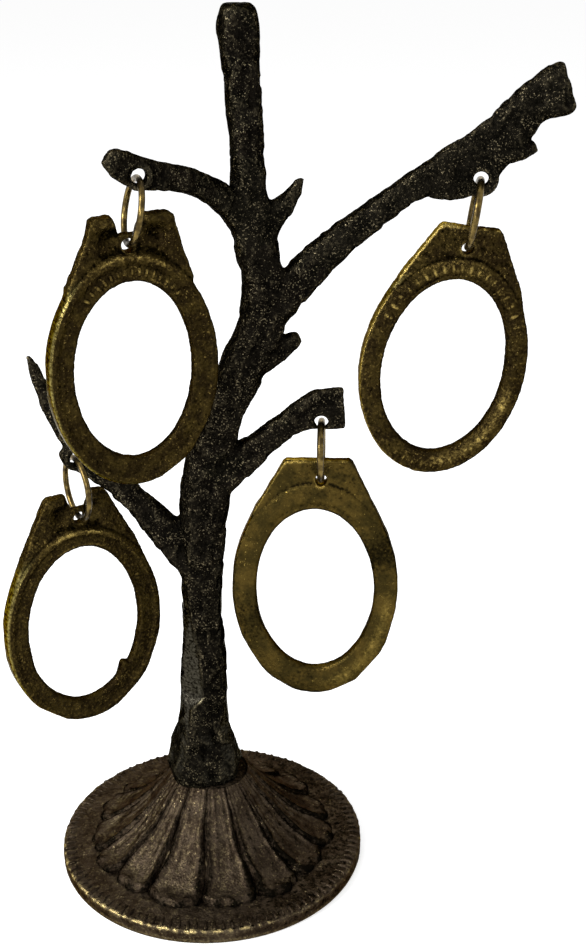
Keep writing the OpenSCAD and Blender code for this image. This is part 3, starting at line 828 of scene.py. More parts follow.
    def rim_wear_and_highlight(self, points: np.ndarray) -> np.ndarray:
        """Gives how bare the rim is in each direction: worn all round, with a painted highlight strongest at the front
        left.
        """
        turn = np.arctan2(points[:, 1], points[:, 0])
        front = 0.35 + 0.65 * hump(turn, -2.05, 0.75)
        waves = np.sin(37 * turn) + np.sin(71 * turn + 1.0) + np.sin(108 * turn + 2.5)
        return front * np.clip(0.3 + 0.45 * waves, 0, 1)

    def build_band(self) -> None:
        """Builds the band, the rim, the standing ring, the hollow, the web and its screw hole."""
        under = self.neck_h - self.web
        hollow = [(r, min(under, float(self.bell(np.array(r + 1.2))) - self.wall - 1.1))
                  for r in np.linspace(self.petal_r - 4, self.neck_r - 1.2, 10)]
        outer = [(self.petal_r - 4.5, self.band_z - 0.15)] + self.slope() + [
            (self.base_r, self.rim_h - 0.6), (self.base_r, 0.5), (self.base_r - 0.15, 0.15), (self.base_r - 0.5, 0.0)]
        inner = [(self.base_r - self.stand_w, 0.0), (self.base_r - self.stand_w - 1, self.rim_h - 2.2)]
        inner += hollow + [(3.2, under), (3.2, self.neck_h - 0.05), (self.neck_r - 0.3, self.neck_h - 0.05)]
        inner += [(self.neck_r - 0.3, self.neck_h - 1.2), (self.petal_r - 8, self.band_z + 0.6)]
        piece = lathe("foot_band", finely(outer, 0.4) + inner, self.steps_round)
        points = read_points(piece.data)
        radius = np.hypot(points[:, 0], points[:, 1])
        calm = np.clip((radius - 20) / 6, 0, 1) * np.clip((points[:, 2] - 0.3) / 1.0, 0, 1)
        self.shop.sand(piece, lump=(1.8, 0.30), grain=(0.8, 0.18), seed=8.0, metal=self.shop.foot_metal, calm=calm)
        mark_rubbed(piece, reach=8, depth=0.30)
        # Painted shade: points on the right of the foot are made darker.
        rub = read_mark(piece, "rub") - 0.22 * self.shaded(points)
        # The rim's top edge is bared: wear all round, with a painted highlight strongest at the front left.
        high = step(points[:, 2], self.rim_h - 0.8, self.rim_h - 0.3)
        edge = high * hump(radius, self.base_r - 0.3, 0.4)
        rub = np.clip(rub, 0.15, 0.75) + 0.6 * edge * self.rim_wear_and_highlight(points)
        # Painted shade: near the neck, in the gap under the tree, the skin is held dark.
        mark(piece, "rub", np.where(radius < self.neck_r + 1, 0.22, rub))
        keep_inside(piece, "base_foot")
        self.shop.dress(piece, "stand", "foot_bronze")

    def build_nicks(self) -> None:
        """Builds the radial reeds between the nicks, which the rim's edge cuts off."""
        length, width, rise = 2.9, 1.05, 0.62
        rows = []
        for x in np.linspace(-0.5, 0.5, 9):
            tall = rise * (1 - (2 * abs(x - 0.18) / 1.36) ** 2)
            wide = width * (0.35 + 0.65 * (x + 0.5) ** 0.6)
            for y in np.linspace(-0.5, 0.5, 7):
                rows.append((x * length, y * wide, tall * (1 - (2 * abs(y)) ** 2.5) - 0.14))
        reed = new_piece("foot_reeds", np.array(rows), grid_faces(9, 7, False))
        middle = self.base_r - 0.45 - length / 2
        self.shop.repeat(reed, self.nicks, (middle, middle), (0, 360), 0.24, 4, self.shop.foot_metal)
        points = read_points(reed.data)
        radius = np.hypot(points[:, 0], points[:, 1])
        points[:, 2] += np.interp(radius, *zip(*self.slope()))
        write_points(reed.data, points)
        keep_inside(reed, "base_foot")
        # The reeds' outer ends are bared: wear, with a painted highlight strongest at the front left.
        mark(reed, "rub", 0.40 + 0.42 * self.rim_wear_and_highlight(points) * step(radius, self.base_r - 2.2, self.base_r - 0.3))
        self.shop.dress(reed, "stand", "foot_bronze")

    def build(self) -> None:
        """Builds the foot's three meshes."""
        self.build_petals()
        self.build_band()
        self.build_nicks()


@dataclass
class TreeCasting:
    """The branching tree: the solid's own form, with the chiselled and sandy skin of the casting."""

    shop: Workshop
    voxel: float = 0.38
    facet: float = 3.4
    flatten: float = 0.55
    facet_tilt: float = 0.22
    facet_depth: float = 0.45
    seed: int = 11
    # Right border of the filed face by height, and the ends of its broken edge.
    border_z: tuple[float, ...] = (34.0, 39.5, 40.5, 43.0, 53.0, 60.0, 68.0, 76.0)
    border_x: tuple[float, ...] = (-4.2, -3.6, -3.2, -0.6, -1.2, -2.4, -3.4, -4.6)
    chip: tuple[tuple[float, float, float], ...] = ((-0.6, -4.3, 42.9), (-3.6, -4.2, 40.0))

    def lug_holes(self) -> list[Vector]:
        """Gives the middle of each drilled lug from the joints of the rings."""
        return [Vector(joint["pos_m"]) for joint in frame["joints"] if joint["parent"] == "stand"]

    def solid(self) -> Object:
        """Copies the solid and remeshes it to an even, fine grid."""
        mesh = frame["nodes"]["tree_casting"].data.copy()
        piece = put("tree_casting_skin", mesh, Matrix.Identity(4))
        face_outwards(piece, 1e-6)
        remesh = piece.modifiers.new("grid", "REMESH")
        remesh.mode = "VOXEL"
        remesh.voxel_size = self.voxel * MM
        return settle(piece)

    def calm_share(self, points: np.ndarray) -> np.ndarray:
        """Gives how far each point may move: nothing at the drilled lugs and on the seat."""
        share = np.clip((points[:, 2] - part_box("tree_casting")[0][2] / MM - 0.6) / 1.2, 0, 1)
        for hole in self.lug_holes():
            away = np.linalg.norm(points - np.array(hole) / MM, axis=1)
            share = np.minimum(share, np.clip((away - 3.4) / 2.0, 0, 1))
        return share

    def cut_facets(self, mesh: Mesh, share: np.ndarray) -> None:
        """Flattens the skin towards small planes, as a carved pattern leaves them.

        Args:
            mesh: The tree's mesh.
            share: How far each point may move.
        """
        points = averaged(mesh, read_points(mesh), 3)
        normals = averaged(mesh, read_normals(mesh), 4)
        normals /= np.linalg.norm(normals, axis=1)[:, None]
        random = np.random.default_rng(self.seed)
        order = random.permutation(len(points))
        stretch = np.array([1.0, 1.0, 0.55])
        cells = np.floor(points[order] * stretch / self.facet).astype(int)
        first = np.unique(cells, axis=0, return_index=True)[1]
        seeds = order[first]
        tilted = normals[seeds] + random.normal(0, self.facet_tilt, (len(seeds), 3))
        tilted /= np.linalg.norm(tilted, axis=1)[:, None]
        search = kdtree.KDTree(len(seeds))
        for number, place in enumerate(points[seeds] * stretch):
            search.insert(place, number)
        search.balance()
        nearest = np.array([search.find(place)[1] for place in points * stretch])
        height = ((points - points[seeds][nearest]) * tilted[nearest]).sum(axis=1)
        # The facets are up to 1.9 times as deep on the roots as on the branches.
        deep = 1 + 0.9 * (1 - step(points[:, 2], 30.0, 44.0))
        most = self.facet_depth * deep
        height = np.clip(height, -most, most) * self.flatten * share * np.sqrt(deep)
        points -= tilted[nearest] * height[:, None]
        points += (averaged(mesh, points, 1) - points) * 0.5
        write_points(mesh, points * share[:, None] + read_points(mesh) * (1 - share[:, None]))

    def file_walls_with_sheen(self, mesh: Mesh) -> np.ndarray:
        """Files the lower trunk's left wall to a slanting face, and gives where the lighter filed tone goes.

        Args:
            mesh: The tree's mesh.

        Returns:
            Share of the filed tone at each point, from 0, as cast, to 1: the filed wall, and as a painted
            sheen the walls that face right and the lobes that face sideways low down.
        """
        points = read_points(mesh)
        x, y, z = points.T
        border = np.interp(z, self.border_z, self.border_x)
        inside = step(border - x, 0.0, 0.5) * step(z, 34.0, 38.0) * (1 - step(z, 68.0, 74.0))
        slant = -4.3 + 0.62 * np.clip(border - x, 0, None)
        filed = inside * step(-y, -1.0, 1.0)
        points[:, 1] = np.where((y < slant) & (y < 0), y + (slant - y) * inside, y)
        write_points(mesh, points)
        normals = averaged(mesh, read_normals(mesh), 2)
        # Painted sheen: walls that face right, and the low lobes that face sideways, take the filed tone.
        right = step(normals[:, 0], 0.55, 0.8) * step(z, 30.0, 36.0) * (1 - step(z, 72.0, 80.0))
        lobes = step(np.abs(normals[:, 0]), 0.25, 0.6) * (1 - step(z, 33.0, 37.0))
        return np.clip(np.maximum(filed, np.maximum(right, 0.4 * lobes)), 0, 1)

    def chipped_edge(self, points: np.ndarray) -> np.ndarray:
        """Gives how near each point is to the bright edge where the filed face breaks off."""
        first, last = (np.array(end) for end in self.chip)
        along = last - first
        part = np.clip((points - first) @ along / (along @ along), 0, 1)
        away = np.linalg.norm(points - first - part[:, None] * along, axis=1)
        return 1 - step(away, 0.2, 0.55)

    def build(self) -> None:
        """Builds the tree's skin and keeps it inside the solid's box."""
        piece = self.solid()
        share = self.calm_share(read_points(piece.data))
        self.cut_facets(piece.data, share)
        filed = self.file_walls_with_sheen(piece.data)
        mark(piece, "filed", filed)
        share = share * (1 - 0.8 * filed)
        self.shop.sand(piece, lump=(2.4, 0.20), grain=(0.8, 0.12), seed=21.0, metal=self.shop.tree_metal, calm=share)
        keep_inside(piece, "tree_casting")
        mark_rubbed(piece, reach=8, depth=0.50)
        edge = self.chipped_edge(read_points(piece.data))
        mark(piece, "rub", np.maximum(read_mark(piece, "rub"), edge))
        self.shop.dress(piece, "stand", "tree_bronze", "tree_casting")


@dataclass
class FixingScrew:
    """The hexagon screw and its washer under the web of the foot."""

    shop: Workshop

    def build(self) -> None:
        """Keeps the turned solids and gives them the plated finish."""
        for name in ("base_screw", "screw_washer"):
            node = frame["nodes"][name]
            node.data.materials.clear()
            node.data.materials.append(self.shop.screw_metal)
            log.info("%s: plated", name)


@dataclass
class SplitRing:
    """One split wire ring, which hangs in a drilled lug."""

    shop: Workshop
    name: str
    radius: float
    yaw: float
    lean: float
    wire_d: float = 1.5
    split_deg: float = 7.0
    split_at: float = 215.0

    def lug(self) -> Vector:
        """Gives the place of the lug's hole, which is the joint's."""
        joint = next(j for j in frame["joints"] if j["child"] == self.name)
        return Vector(joint["pos_m"])

    def hang(self) -> Matrix:
        """Gives the turn and place of the ring's top."""
        return Matrix.Translation(self.lug()) @ turned(self.yaw, "Z") @ turned(self.lean, "Y")

    def build(self) -> None:
        """Bends the wire and hangs it in its lug."""
        ring = new_piece(self.name + "_wire", np.zeros((0, 3)), [])
        grow(ring, self.shop.wire, {
            "Ring Radius": self.radius * MM, "Wire Radius": self.wire_d / 2 * MM,
            "Split": math.radians(self.split_deg), "Material": self.shop.ring_metal})
        upright = turned(-90, "Y") @ turned(self.split_at, "Z")
        ring.data.transform(self.hang() @ moved(0, 0, -self.radius) @ upright)
        self.shop.dress(ring, self.name, "ring_brass", self.name)


class TabStyle(Enum):
    """The two patterns of tab: notched between two lobes, or square and thin."""

    LOBED = "lobed"
    SQUARE = "square"


@dataclass(frozen=True)
class BarRow:
    """A row of small cast bars along a frame's oval, each pointing at the middle."""

    share: float
    start: float
    sweep: float
    count: int
    length: float = 1.9
    width: float = 0.95
    rise: float = 0.45
    worn: float = 0.85


# Each moulding's places from the opening, 0, to the outer edge, 1, and its height there as a share.
LOBED_MOULDING = ((0, 0.03, 0.09, 0.56, 0.64, 0.72, 0.88, 0.96, 1.0),
                  (0.45, 0.62, 0.76, 0.78, 0.86, 0.97, 0.97, 0.86, 0.60))
SQUARE_MOULDING = ((0, 0.03, 0.10, 0.45, 0.62, 0.86, 0.95, 1.0),
                   (0.50, 0.72, 0.90, 1.0, 0.95, 0.82, 0.68, 0.40))
# Width in millimetres over which the outline passes from the oval to the tab.
WING_MM = 1.2


@dataclass
class OvalFrame:
    """One cast oval frame with its tab, which hangs from a ring."""

    shop: Workshop
    ring: SplitRing
    name: str
    style: TabStyle
    turn: float
    tilt: float
    open_half: tuple[float, float]
    outer_half: tuple[float, float]
    side: float
    drop: float
    tab_half: float
    tab_side: float
    seed: float
    # How strongly ridges and hollows differ in tone, as patina and wear with painted shade and highlight over them,
    # and how much the whole is rubbed.
    contrast: float
    wear: float
    rows: tuple[BarRow, ...] = ()
    straight_flanks: bool = True
    # Direction in degrees of a bead of metal that ran into the opening, and its height.
    bead: tuple[float, float] = (0.0, 0.0)
    waves: float = 0.009
    worn: bool = False
    # Flats that a file left on the outline: direction in degrees and depth.
    flats: tuple[tuple[float, float], ...] = ()
    # A painted highlight streak along the band: its share, width, first and last direction and strength.
    highlight_streak: tuple[float, float, float, float, float] = (0.5, 0.2, 0.0, 0.0, 0.0)
    # Directions in which the band is darker: direction and spread in degrees, and depth.
    shades: tuple[tuple[float, float, float], ...] = ()
    thick: float = 3.6
    tab_top: float = 4.5
    tab_t: float = 2.2
    hole_d: float = 2.6
    tab_high: float = 0.2
    tab_rise: float = 0.5
    rebate_d: float = 1.2
    rebate_w: float = 1.6
    steps_round: int = 560
    steps_across: int = 52

    def place(self) -> Matrix:
        """Gives the matrix from the frame's flat drawing, with the hole at its origin, to the stand."""
        hung = self.ring.hang() @ moved(0, 0, -2 * self.ring.radius) @ turned(self.tilt, "Y")
        return hung @ moved(0, 0, -self.tab_high) @ turned(self.turn, "Z") @ turned(90, "X")

    def tab_outline(self) -> list[tuple[float, float]]:
        """Lists the corners of the tab's outline, from the left foot over the top to the right foot."""
        high = self.tab_top + (1.4 if self.style is TabStyle.LOBED else 0.0)
        wide, move = self.tab_half, self.tab_side
        foot = self.outer_half[0] * 0.72
        if self.style is TabStyle.LOBED:
            notch = self.hole_d / 2 + 1
            top = [(-wide + 1 + move, high), (-3, high), (-1.7, notch), (1.7, notch), (3, high),
                   (wide - 1 + move, high)]
        else:
            top = [(-wide + 0.7 + move, high), (wide - 0.7 + move, high)]
        return [(-foot + self.side, -10), (-foot + self.side, -7), (-wide - 1 + move, 1.5),
                (-wide + move, high - 0.6)] + top + [
                    (wide + move, high - 0.6), (wide + 1 + move, 1.5), (foot + self.side, -7), (foot + self.side, -10)]

    def crossing(self, angle: np.ndarray, first: np.ndarray, last: np.ndarray) -> tuple[np.ndarray, np.ndarray]:
        """Gives where rays from the oval's middle cross a straight side.

        Args:
            angle: Directions of the rays in radians.
            first: One end of the side.
            last: The other end.

        Returns:
            Whether each ray crosses the side, and at what distance.
        """
        ex, ey = last - first
        cross = np.cos(angle) * ey - np.sin(angle) * ex
        cross = np.where(np.abs(cross) < 1e-9, 1e-9, cross)
        along = (first[0] * ey - first[1] * ex) / cross
        part = (first[0] * np.sin(angle) - first[1] * np.cos(angle)) / cross
        return (part >= 0) & (part <= 1) & (along > 0), along

    def reach(self, angle: np.ndarray) -> np.ndarray:
        """Gives the outline's distance from the oval's middle in each direction.

        Args:
            angle: Directions in radians, from the right, turning to the top.

        Returns:
            The distances in millimetres: the oval's, or the tab's where it reaches further.
        """
        a, b = self.outer_half
        oval = oval_reach(self.outer_half, angle)
        tab = np.array(self.tab_outline()) + (-self.side, self.drop)
        corners = tab
        if self.straight_flanks:
            # The tab's flanks run on as tangents of the oval.
            round_it = np.linspace(0, math.tau, 240, endpoint=False)
            every = np.concatenate([tab, np.stack([a * np.cos(round_it), b * np.sin(round_it)], axis=1)])
            hull = geometry.convex_hull_2d([tuple(corner) for corner in every])
            corners = every[hull + hull[:1]]
        far = oval.copy()
        for first, last in zip(corners, corners[1:]):
            hit, along = self.crossing(angle, first, last)
            if not self.straight_flanks:
                # Where the flank meets the oval, a fillet fills the corner.
                soft = (oval ** 50 + np.clip(along, 0, 40.0) ** 50) ** 0.02
                along = np.where((along > 0.93 * oval) & (np.sin(angle) < 0.9), soft, along)
            far = np.where(hit, np.maximum(far, along), far)
        if self.style is TabStyle.LOBED:
            for first, last in zip(tab[5:9], tab[6:9]):
                hit, along = self.crossing(angle, first, last)
                far = np.where(hit, along, far)
        return far

    def front(self, x: np.ndarray, y: np.ndarray, share: np.ndarray, over: np.ndarray,
              wing: np.ndarray) -> np.ndarray:
        """Gives the height of the front face over the middle of the plate.

        Args:
            x: Place across, from the ring hole.
            y: Place up, from the ring hole.
            share: Place from the opening, 0, to the oval's outer edge, 1, and beyond on the tab.
            over: Distance inside the outline.
            wing: Share of tab in that direction, from 0 to 1.

        Returns:
            The heights in millimetres.
        """
        half = self.thick / 2
        if self.style is TabStyle.LOBED:
            band = np.interp(share, *LOBED_MOULDING) * half
            # Each lobe rises to a bar at its top, over a dark recess beside the hole.
            side = np.abs(x - self.tab_side)
            bar = hump(y, self.tab_top - 0.1, 1.3) * step(side, 2.0, 3.2)
            walls = step(side, self.tab_half - 2.8, self.tab_half - 0.4)
            well = hump(side, self.tab_half - 3.8, 1.5) * hump(y, 1.8, 1.6)
            foot = np.clip((-1.6 - y) / 5.0, 0, 1)
            tab = half * (0.16 + 0.62 * bar + 0.34 * walls * (1 - bar) + 0.5 * foot) - 0.9 * well
            tab = np.minimum(tab, 0.97 * half)
            blend = step(share, 0.84, 1.16)
        else:
            band = np.interp(share, *SQUARE_MOULDING) * half
            knee = -self.hole_d / 2 - 0.7
            band = band - 0.22 * wing * (hump(share, 0.20, 0.10) + hump(share, 0.92, 0.07))
            tab = self.tab_t / 2 + self.tab_rise * np.clip((knee - y) / 6, 0, 1)
            blend = step(share, 0.78, 1.02)
        blend = blend * wing
        height = np.where(wing > 0, np.minimum(band, half), band) * (1 - blend) + tab * blend
        edge = np.clip(over / 0.4, 0, 1)
        return height - 0.35 * (1 - np.sqrt(np.clip(1 - (1 - edge) ** 2, 0, 1)))

    def ovals(self, angle: np.ndarray) -> tuple[np.ndarray, np.ndarray]:
        """Gives the distance of the opening and of the outer oval in each direction."""
        inner = oval_reach(self.open_half, angle) * (1 + self.wobble(angle, self.waves))
        apart = np.angle(np.exp(1j * (angle - math.radians(self.bead[0]))))
        # The bead is steep towards the right and runs out slowly towards the bottom.
        run_out = 0.75 * hump(apart, 0, 0.11) + 0.25 * hump(apart, 0, 0.45)
        inner = inner - self.bead[1] * np.where(apart > 0, np.exp(-(apart / 0.07) ** 4), run_out)
        return inner, oval_reach(self.outer_half, angle)

    def plate(self) -> Object:
        """Builds the closed plate: moulded front, outer wall, back, rebate and inner wall."""
        steps = np.linspace(0, 1, self.steps_round, endpoint=False)
        angle = math.pi / 2 + math.tau * (steps - 0.07 * np.sin(math.tau * steps))
        inner, outer = self.ovals(angle)
        edge = self.reach(angle)
        wing = np.clip((edge - outer) / WING_MM, 0, 1)
        for way, depth in self.flats:
            turn = math.radians(way)
            level = math.hypot(self.outer_half[0] * math.cos(turn), self.outer_half[1] * math.sin(turn)) - depth
            edge = np.minimum(edge, level / np.clip(np.cos(angle - turn), 0.05, 1))
        edge = edge - 0.12 * (1 + self.wobble(angle * 2, 0.6))
        rows = []
        for part in np.linspace(0, 1, self.steps_across):
            away = inner + (edge - inner) * part
            x, y = away * np.cos(angle) + self.side, away * np.sin(angle) - self.drop
            height = self.front(x, y, (away - inner) / (outer - inner), edge - away, wing)
            rows.append(np.stack([x, y, height], axis=1))
        tab_back = -self.thick / 2 + 0.3 if self.style is TabStyle.LOBED else -self.tab_t / 2
        back = -self.thick / 2 * (1 - wing) + tab_back * wing
        rebate = 1 + self.rebate_w / inner
        level = np.full_like(back, -self.thick / 2)
        face = rows[-1][:, 2]
        for away, height in ((edge, face * 0.75 + back * 0.25), (edge, face * 0.5 + back * 0.5),
                             (edge, face * 0.25 + back * 0.75), (edge, back + 0.25), (edge - 0.25, back),
                             (np.minimum(outer, edge) - 0.5, level), (inner * rebate, level),
                             (inner * rebate, level + self.rebate_d), (inner, level + self.rebate_d),
                             (inner, level * 0.3 + self.rebate_d * 0.3), (inner, level * 0)):
            rows.append(np.stack([away * np.cos(angle) + self.side, away * np.sin(angle) - self.drop, height], axis=1))
        faces = grid_faces(len(rows), len(angle), True, True)
        piece = new_piece(self.name + "_casting", np.concatenate(rows), faces)
        face_outwards(piece)
        return piece

    def wobble(self, angle: np.ndarray, amount: float) -> np.ndarray:
        """Gives the small unevenness of a hand-finished opening in each direction."""
        waves = sum(np.sin(k * angle + self.seed * k * 1.7) / k for k in (3, 5, 8, 13))
        return amount * waves

    def drill(self, piece: Object) -> None:
        """Drills the ring hole through the tab."""
        steps = 48
        ring = [(self.hole_d / 2 * math.cos(math.tau * k / steps), self.hole_d / 2 * math.sin(math.tau * k / steps))
                for k in range(steps)]
        points = [(x, y, z) for z in (-6, 6) for x, y in ring]
        faces = grid_faces(2, steps, True) + [tuple(range(steps))[::-1], tuple(range(steps, 2 * steps))]
        bit = new_piece(self.name + "_bit", np.array(points), faces)
        face_outwards(bit)
        cut = piece.modifiers.new("hole", "BOOLEAN")
        cut.operation = "DIFFERENCE"
        cut.solver = "EXACT"
        cut.object = bit
        settle(piece)
        bpy.data.objects.remove(bit)

    def bars(self, row: BarRow, number: int) -> None:
        """Sets a row of small bars on the frame's face.

        Args:
            row: The row's place and sizes.
            number: The row's number in the piece's name.
        """
        grid = []
        for along in np.linspace(-0.5, 0.5, 6):
            for across in np.linspace(-0.5, 0.5, 5):
                round_off = (1 - (2 * abs(along)) ** 3) * (1 - (2 * abs(across)) ** 2)
                grid.append((along * row.length, across * row.width, row.rise * round_off - 0.12))
        piece = new_piece(f"{self.name}_bars_{number}", np.array(grid), grid_faces(6, 5, False))
        half = [low + (high - low) * row.share for low, high in zip(self.open_half, self.outer_half)]
        self.shop.repeat(piece, row.count, half, (row.start, row.sweep), 0.14, number + int(self.seed * 7),
                         self.metal())
        points = read_points(piece.data)
        away, angle = polar(points[:, 0], points[:, 1])
        inner, outer = self.ovals(angle)
        wing = np.clip((self.reach(angle) - outer) / WING_MM, 0, 1)
        # The bars are dark at their foot and bare on top: wear on the tops, with painted shade and highlight that
        # bring out their relief.
        mark(piece, "rub", 0.05 + (row.worn - 0.05) * step(points[:, 2], -0.08, row.rise - 0.14))
        points[:, 0] += self.side
        points[:, 1] -= self.drop
        share = (away - inner) / (outer - inner)
        points[:, 2] += self.front(points[:, 0], points[:, 1], share, np.full_like(away, 9.0), wing)
        points[:, 2] = np.minimum(points[:, 2], self.thick / 2)
        write_points(piece.data, points)
        piece.data.transform(self.place())
        keep_inside(piece, self.name)
        self.shop.dress(piece, self.name, "frame_bronze")

    def metal(self) -> Material:
        """Gives the frame's finish: as patinated, or worn smooth."""
        return self.shop.worn_metal if self.worn else self.shop.frame_metal

    def from_middle(self, points: np.ndarray) -> tuple[np.ndarray, np.ndarray]:
        """Gives each point's distance and direction from the oval's middle."""
        return polar(points[:, 0] - self.side, points[:, 1] + self.drop)

    def share_of(self, points: np.ndarray) -> np.ndarray:
        """Gives each point's place from the opening, 0, to the oval's outer edge, 1, and beyond."""
        away, angle = self.from_middle(points)
        inner, outer = self.ovals(angle)
        return (away - inner) / (outer - inner)

    def highlit_filed_wall(self, points: np.ndarray) -> np.ndarray:
        """Gives where the outer wall takes the lighter filed tone: a painted highlight on its smooth, rounded left
        side.
        """
        share = self.share_of(points)
        left = step(-np.cos(self.from_middle(points)[1]), -0.25, 0.35)
        left *= 1 - step(points[:, 1] + self.drop, 14.0, 20.0)
        first = 0.86 if self.style is TabStyle.LOBED else 0.95
        return step(share, first, first + 0.08) * left

    def rub_with_painted_light(self, rub: np.ndarray, points: np.ndarray) -> np.ndarray:
        """Works out how far each point is rubbed, with painted highlights and painted shade added.

        Args:
            rub: Height over the averaged neighbours, as mark_rubbed gives it.
            points: Places in the frame's flat drawing.

        Returns:
            The share that goes into the finish.
        """
        share = self.share_of(points)
        away, angle = self.from_middle(points)
        rub = 0.5 + self.wear + (rub - 0.5) * self.contrast
        rub = np.where(share < 0.14, np.minimum(rub, 0.45), rub)
        # Near the outer edge the right side is held darker than the left: painted highlight on the left edge, painted
        # shade on the right.
        left = step(-points[:, 0], -6.0, 6.0)
        rub = np.where(share > 0.86, np.minimum(rub, 0.5 + 0.5 * left), rub)
        # Painted highlight: a streak along the band between two directions is brightened.
        middle, wide, first, last, strength = self.highlight_streak
        turn = np.degrees(angle)
        window = step(turn, first, first + 25) * (1 - step(turn, last - 20, last))
        broken = 0.8 + 0.2 * np.sin(7 * angle + self.seed) * np.sin(19 * angle + 1.0)
        rub += strength * broken * window * hump(share, middle, wide) * (points[:, 2] > 0)
        for way, spread, depth in self.shades:
            apart = np.degrees(np.angle(np.exp(1j * (angle - math.radians(way)))))
            rub -= depth * hump(apart, 0, spread)
        if self.style is TabStyle.SQUARE:
            # A thin line along the tab's top and the left flank is bare: wear on the arris, with a painted highlight
            # where it faces the light.
            over = self.reach(angle) - away
            top = step(points[:, 1], self.tab_top - 0.8, self.tab_top - 0.3)
            line = hump(over, 0.25, 0.3) * step(points[:, 2], 0.2, 0.6)
            uneven = 0.85 + 0.25 * np.sin(2.2 * points[:, 0] + self.seed)
            rub = np.maximum(rub, line * np.maximum(top, left) * uneven)
        else:
            rub = np.where(share > 1.1, np.minimum(rub, 0.62), rub)
        return rub

    def build(self) -> None:
        """Builds the frame, drills it and hangs it on its ring."""
        piece = self.plate()
        self.drill(piece)
        points = read_points(piece.data)
        filed = self.highlit_filed_wall(points)
        share = self.share_of(points)
        tab = step(share, 0.95, 1.1)
        calm = np.clip((np.hypot(points[:, 0], points[:, 1]) - 1.6) / 1.2, 0, 1) * (1 - 0.7 * filed)
        calm *= 0.7 + (0.2 if self.worn else 0.9) * tab
        # Painted highlight: the left outer wall takes the lighter filed tone.
        mark(piece, "filed", 0.85 * filed)
        lump_w, grain_h = (3.0, 0.06) if self.worn else (1.5, 0.16)
        self.shop.sand(piece, lump=(lump_w, 0.26), grain=(0.7, grain_h), seed=self.seed, metal=self.metal(), calm=calm)
        piece.data.transform(self.place())
        keep_inside(piece, self.name)
        mark_rubbed(piece, reach=10, depth=0.30)
        mark(piece, "rub", self.rub_with_painted_light(read_mark(piece, "rub"), points))
        self.shop.dress(piece, self.name, "frame_bronze", self.name)
        for number, row in enumerate(self.rows, 1):
            self.bars(row, number)


@dataclass
class Studio:
    """The pale floor, the soft lights and the camera of the photograph."""

    eye: tuple[float, float, float] = (19.51, -292.71, 222.59)
    pitch_deg: float = 23.36
    roll_deg: float = -0.3155
    focal_px: float = 1500.0
    height_px: float = 944.0
    sensor: float = 36.0
    floor_glow: float = 0.55
    sky_light: float = 0.5
    # Where all lamps look, and each one's name, place and side in metres, and power in watts.
    aim: tuple[float, float, float] = (0.01, 0.0, 0.09)
    lamps: tuple[tuple, ...] = (
        ("key_left", (-0.50, -0.28, 0.50), 0.30, 5.5), ("fill_right", (0.6, -0.3, 0.35), 0.5, 0.4),
        ("front_soft", (-0.22, -0.62, 0.32), 0.14, 1.1), ("back_top", (0.0, 0.5, 0.6), 0.4, 1.2))

    def camera(self) -> None:
        """Places the camera where the photograph was taken from."""
        data = bpy.data.cameras.new("photo_camera")
        data.sensor_fit = "VERTICAL"
        data.sensor_height = self.sensor
        data.lens = self.focal_px / self.height_px * self.sensor
        data.clip_start = 0.01
        data.clip_end = 20.0
        at = moved(*self.eye) @ turned(90 - self.pitch_deg, "X") @ turned(self.roll_deg, "Z")
        bpy.context.scene.camera = put("photo_camera", data, at)

    def lamp(self, name: str, at: tuple[float, float, float], size: float, power: float) -> None:
        """Adds a soft square lamp that looks at the middle of the stand.

        Args:
            name: The lamp's name.
            at: Its place in metres.
            size: Its side in metres.
            power: Its power in watts.
        """
        data = bpy.data.lights.new(name, "AREA")
        data.shape = "SQUARE"
        data.size = size
        data.energy = power
        aim = Vector(self.aim) - Vector(at)
        put(name, data, Matrix.Translation(at) @ aim.to_track_quat("-Z", "Y").to_matrix().to_4x4())

    def seen_ray(self, tree: NodeTree) -> NodeSocket:
        """Gives 1 for rays that show what lies behind: from the camera, mirrored, or let through."""
        rays = tree.nodes.new("ShaderNodeLightPath").outputs
        known = {kind: rays[f"Is {kind} Ray"] for kind in ("Camera", "Glossy", "Transmission")}
        add_chain(tree, known, MATHS, "operation", (
            ("seen", "MAXIMUM", "Camera", "Glossy"), ("any", "MAXIMUM", "seen", "Transmission")))
        return known["any"]

    def floor(self) -> None:
        """Lays the pale floor, white to the camera but for the stand's soft shadow."""
        side = 4000.0
        corners = [(-side, -side, 0), (side, -side, 0), (side, side, 0), (-side, side, 0)]
        plane = new_piece("floor", np.array(corners), [(0, 1, 2, 3)])
        made, tree = new_material("floor_pale_paper")
        matt = add_node(tree, "ShaderNodeBsdfDiffuse", inputs={"Color": linear("#e9e9e9")})
        strength = add_node(tree, MATHS, {"operation": "MULTIPLY"}, {0: self.seen_ray(tree), 1: self.floor_glow})
        glow = add_node(tree, "ShaderNodeEmission", inputs={"Color": linear("#ffffff"), "Strength": strength})
        both = add_node(tree, "ShaderNodeAddShader", inputs={0: matt, 1: glow})
        add_node(tree, "ShaderNodeOutputMaterial", inputs={"Surface": both})
        plane.data.materials.append(made)

    def world(self) -> None:
        """Surrounds the stand with a dim even light that the camera sees as white."""
        world = bpy.data.worlds.new("studio")
        world.use_nodes = True
        tree = world.node_tree
        tree.nodes.clear()
        strength = add_node(tree, RANGE, inputs={
            "Value": self.seen_ray(tree), "To Min": self.sky_light, "To Max": 1.0})
        sky = add_node(tree, "ShaderNodeBackground", inputs={"Color": linear("#ffffff"), "Strength": strength})
        add_node(tree, "ShaderNodeOutputWorld", inputs={"Surface": sky})
        bpy.context.scene.world = world

    def build(self) -> None:
        """Builds the studio."""
        bpy.context.scene.view_settings.view_transform = "Standard"
        self.camera()
        self.floor()
        self.world()
        for lamp in self.lamps:
            self.lamp(*lamp)


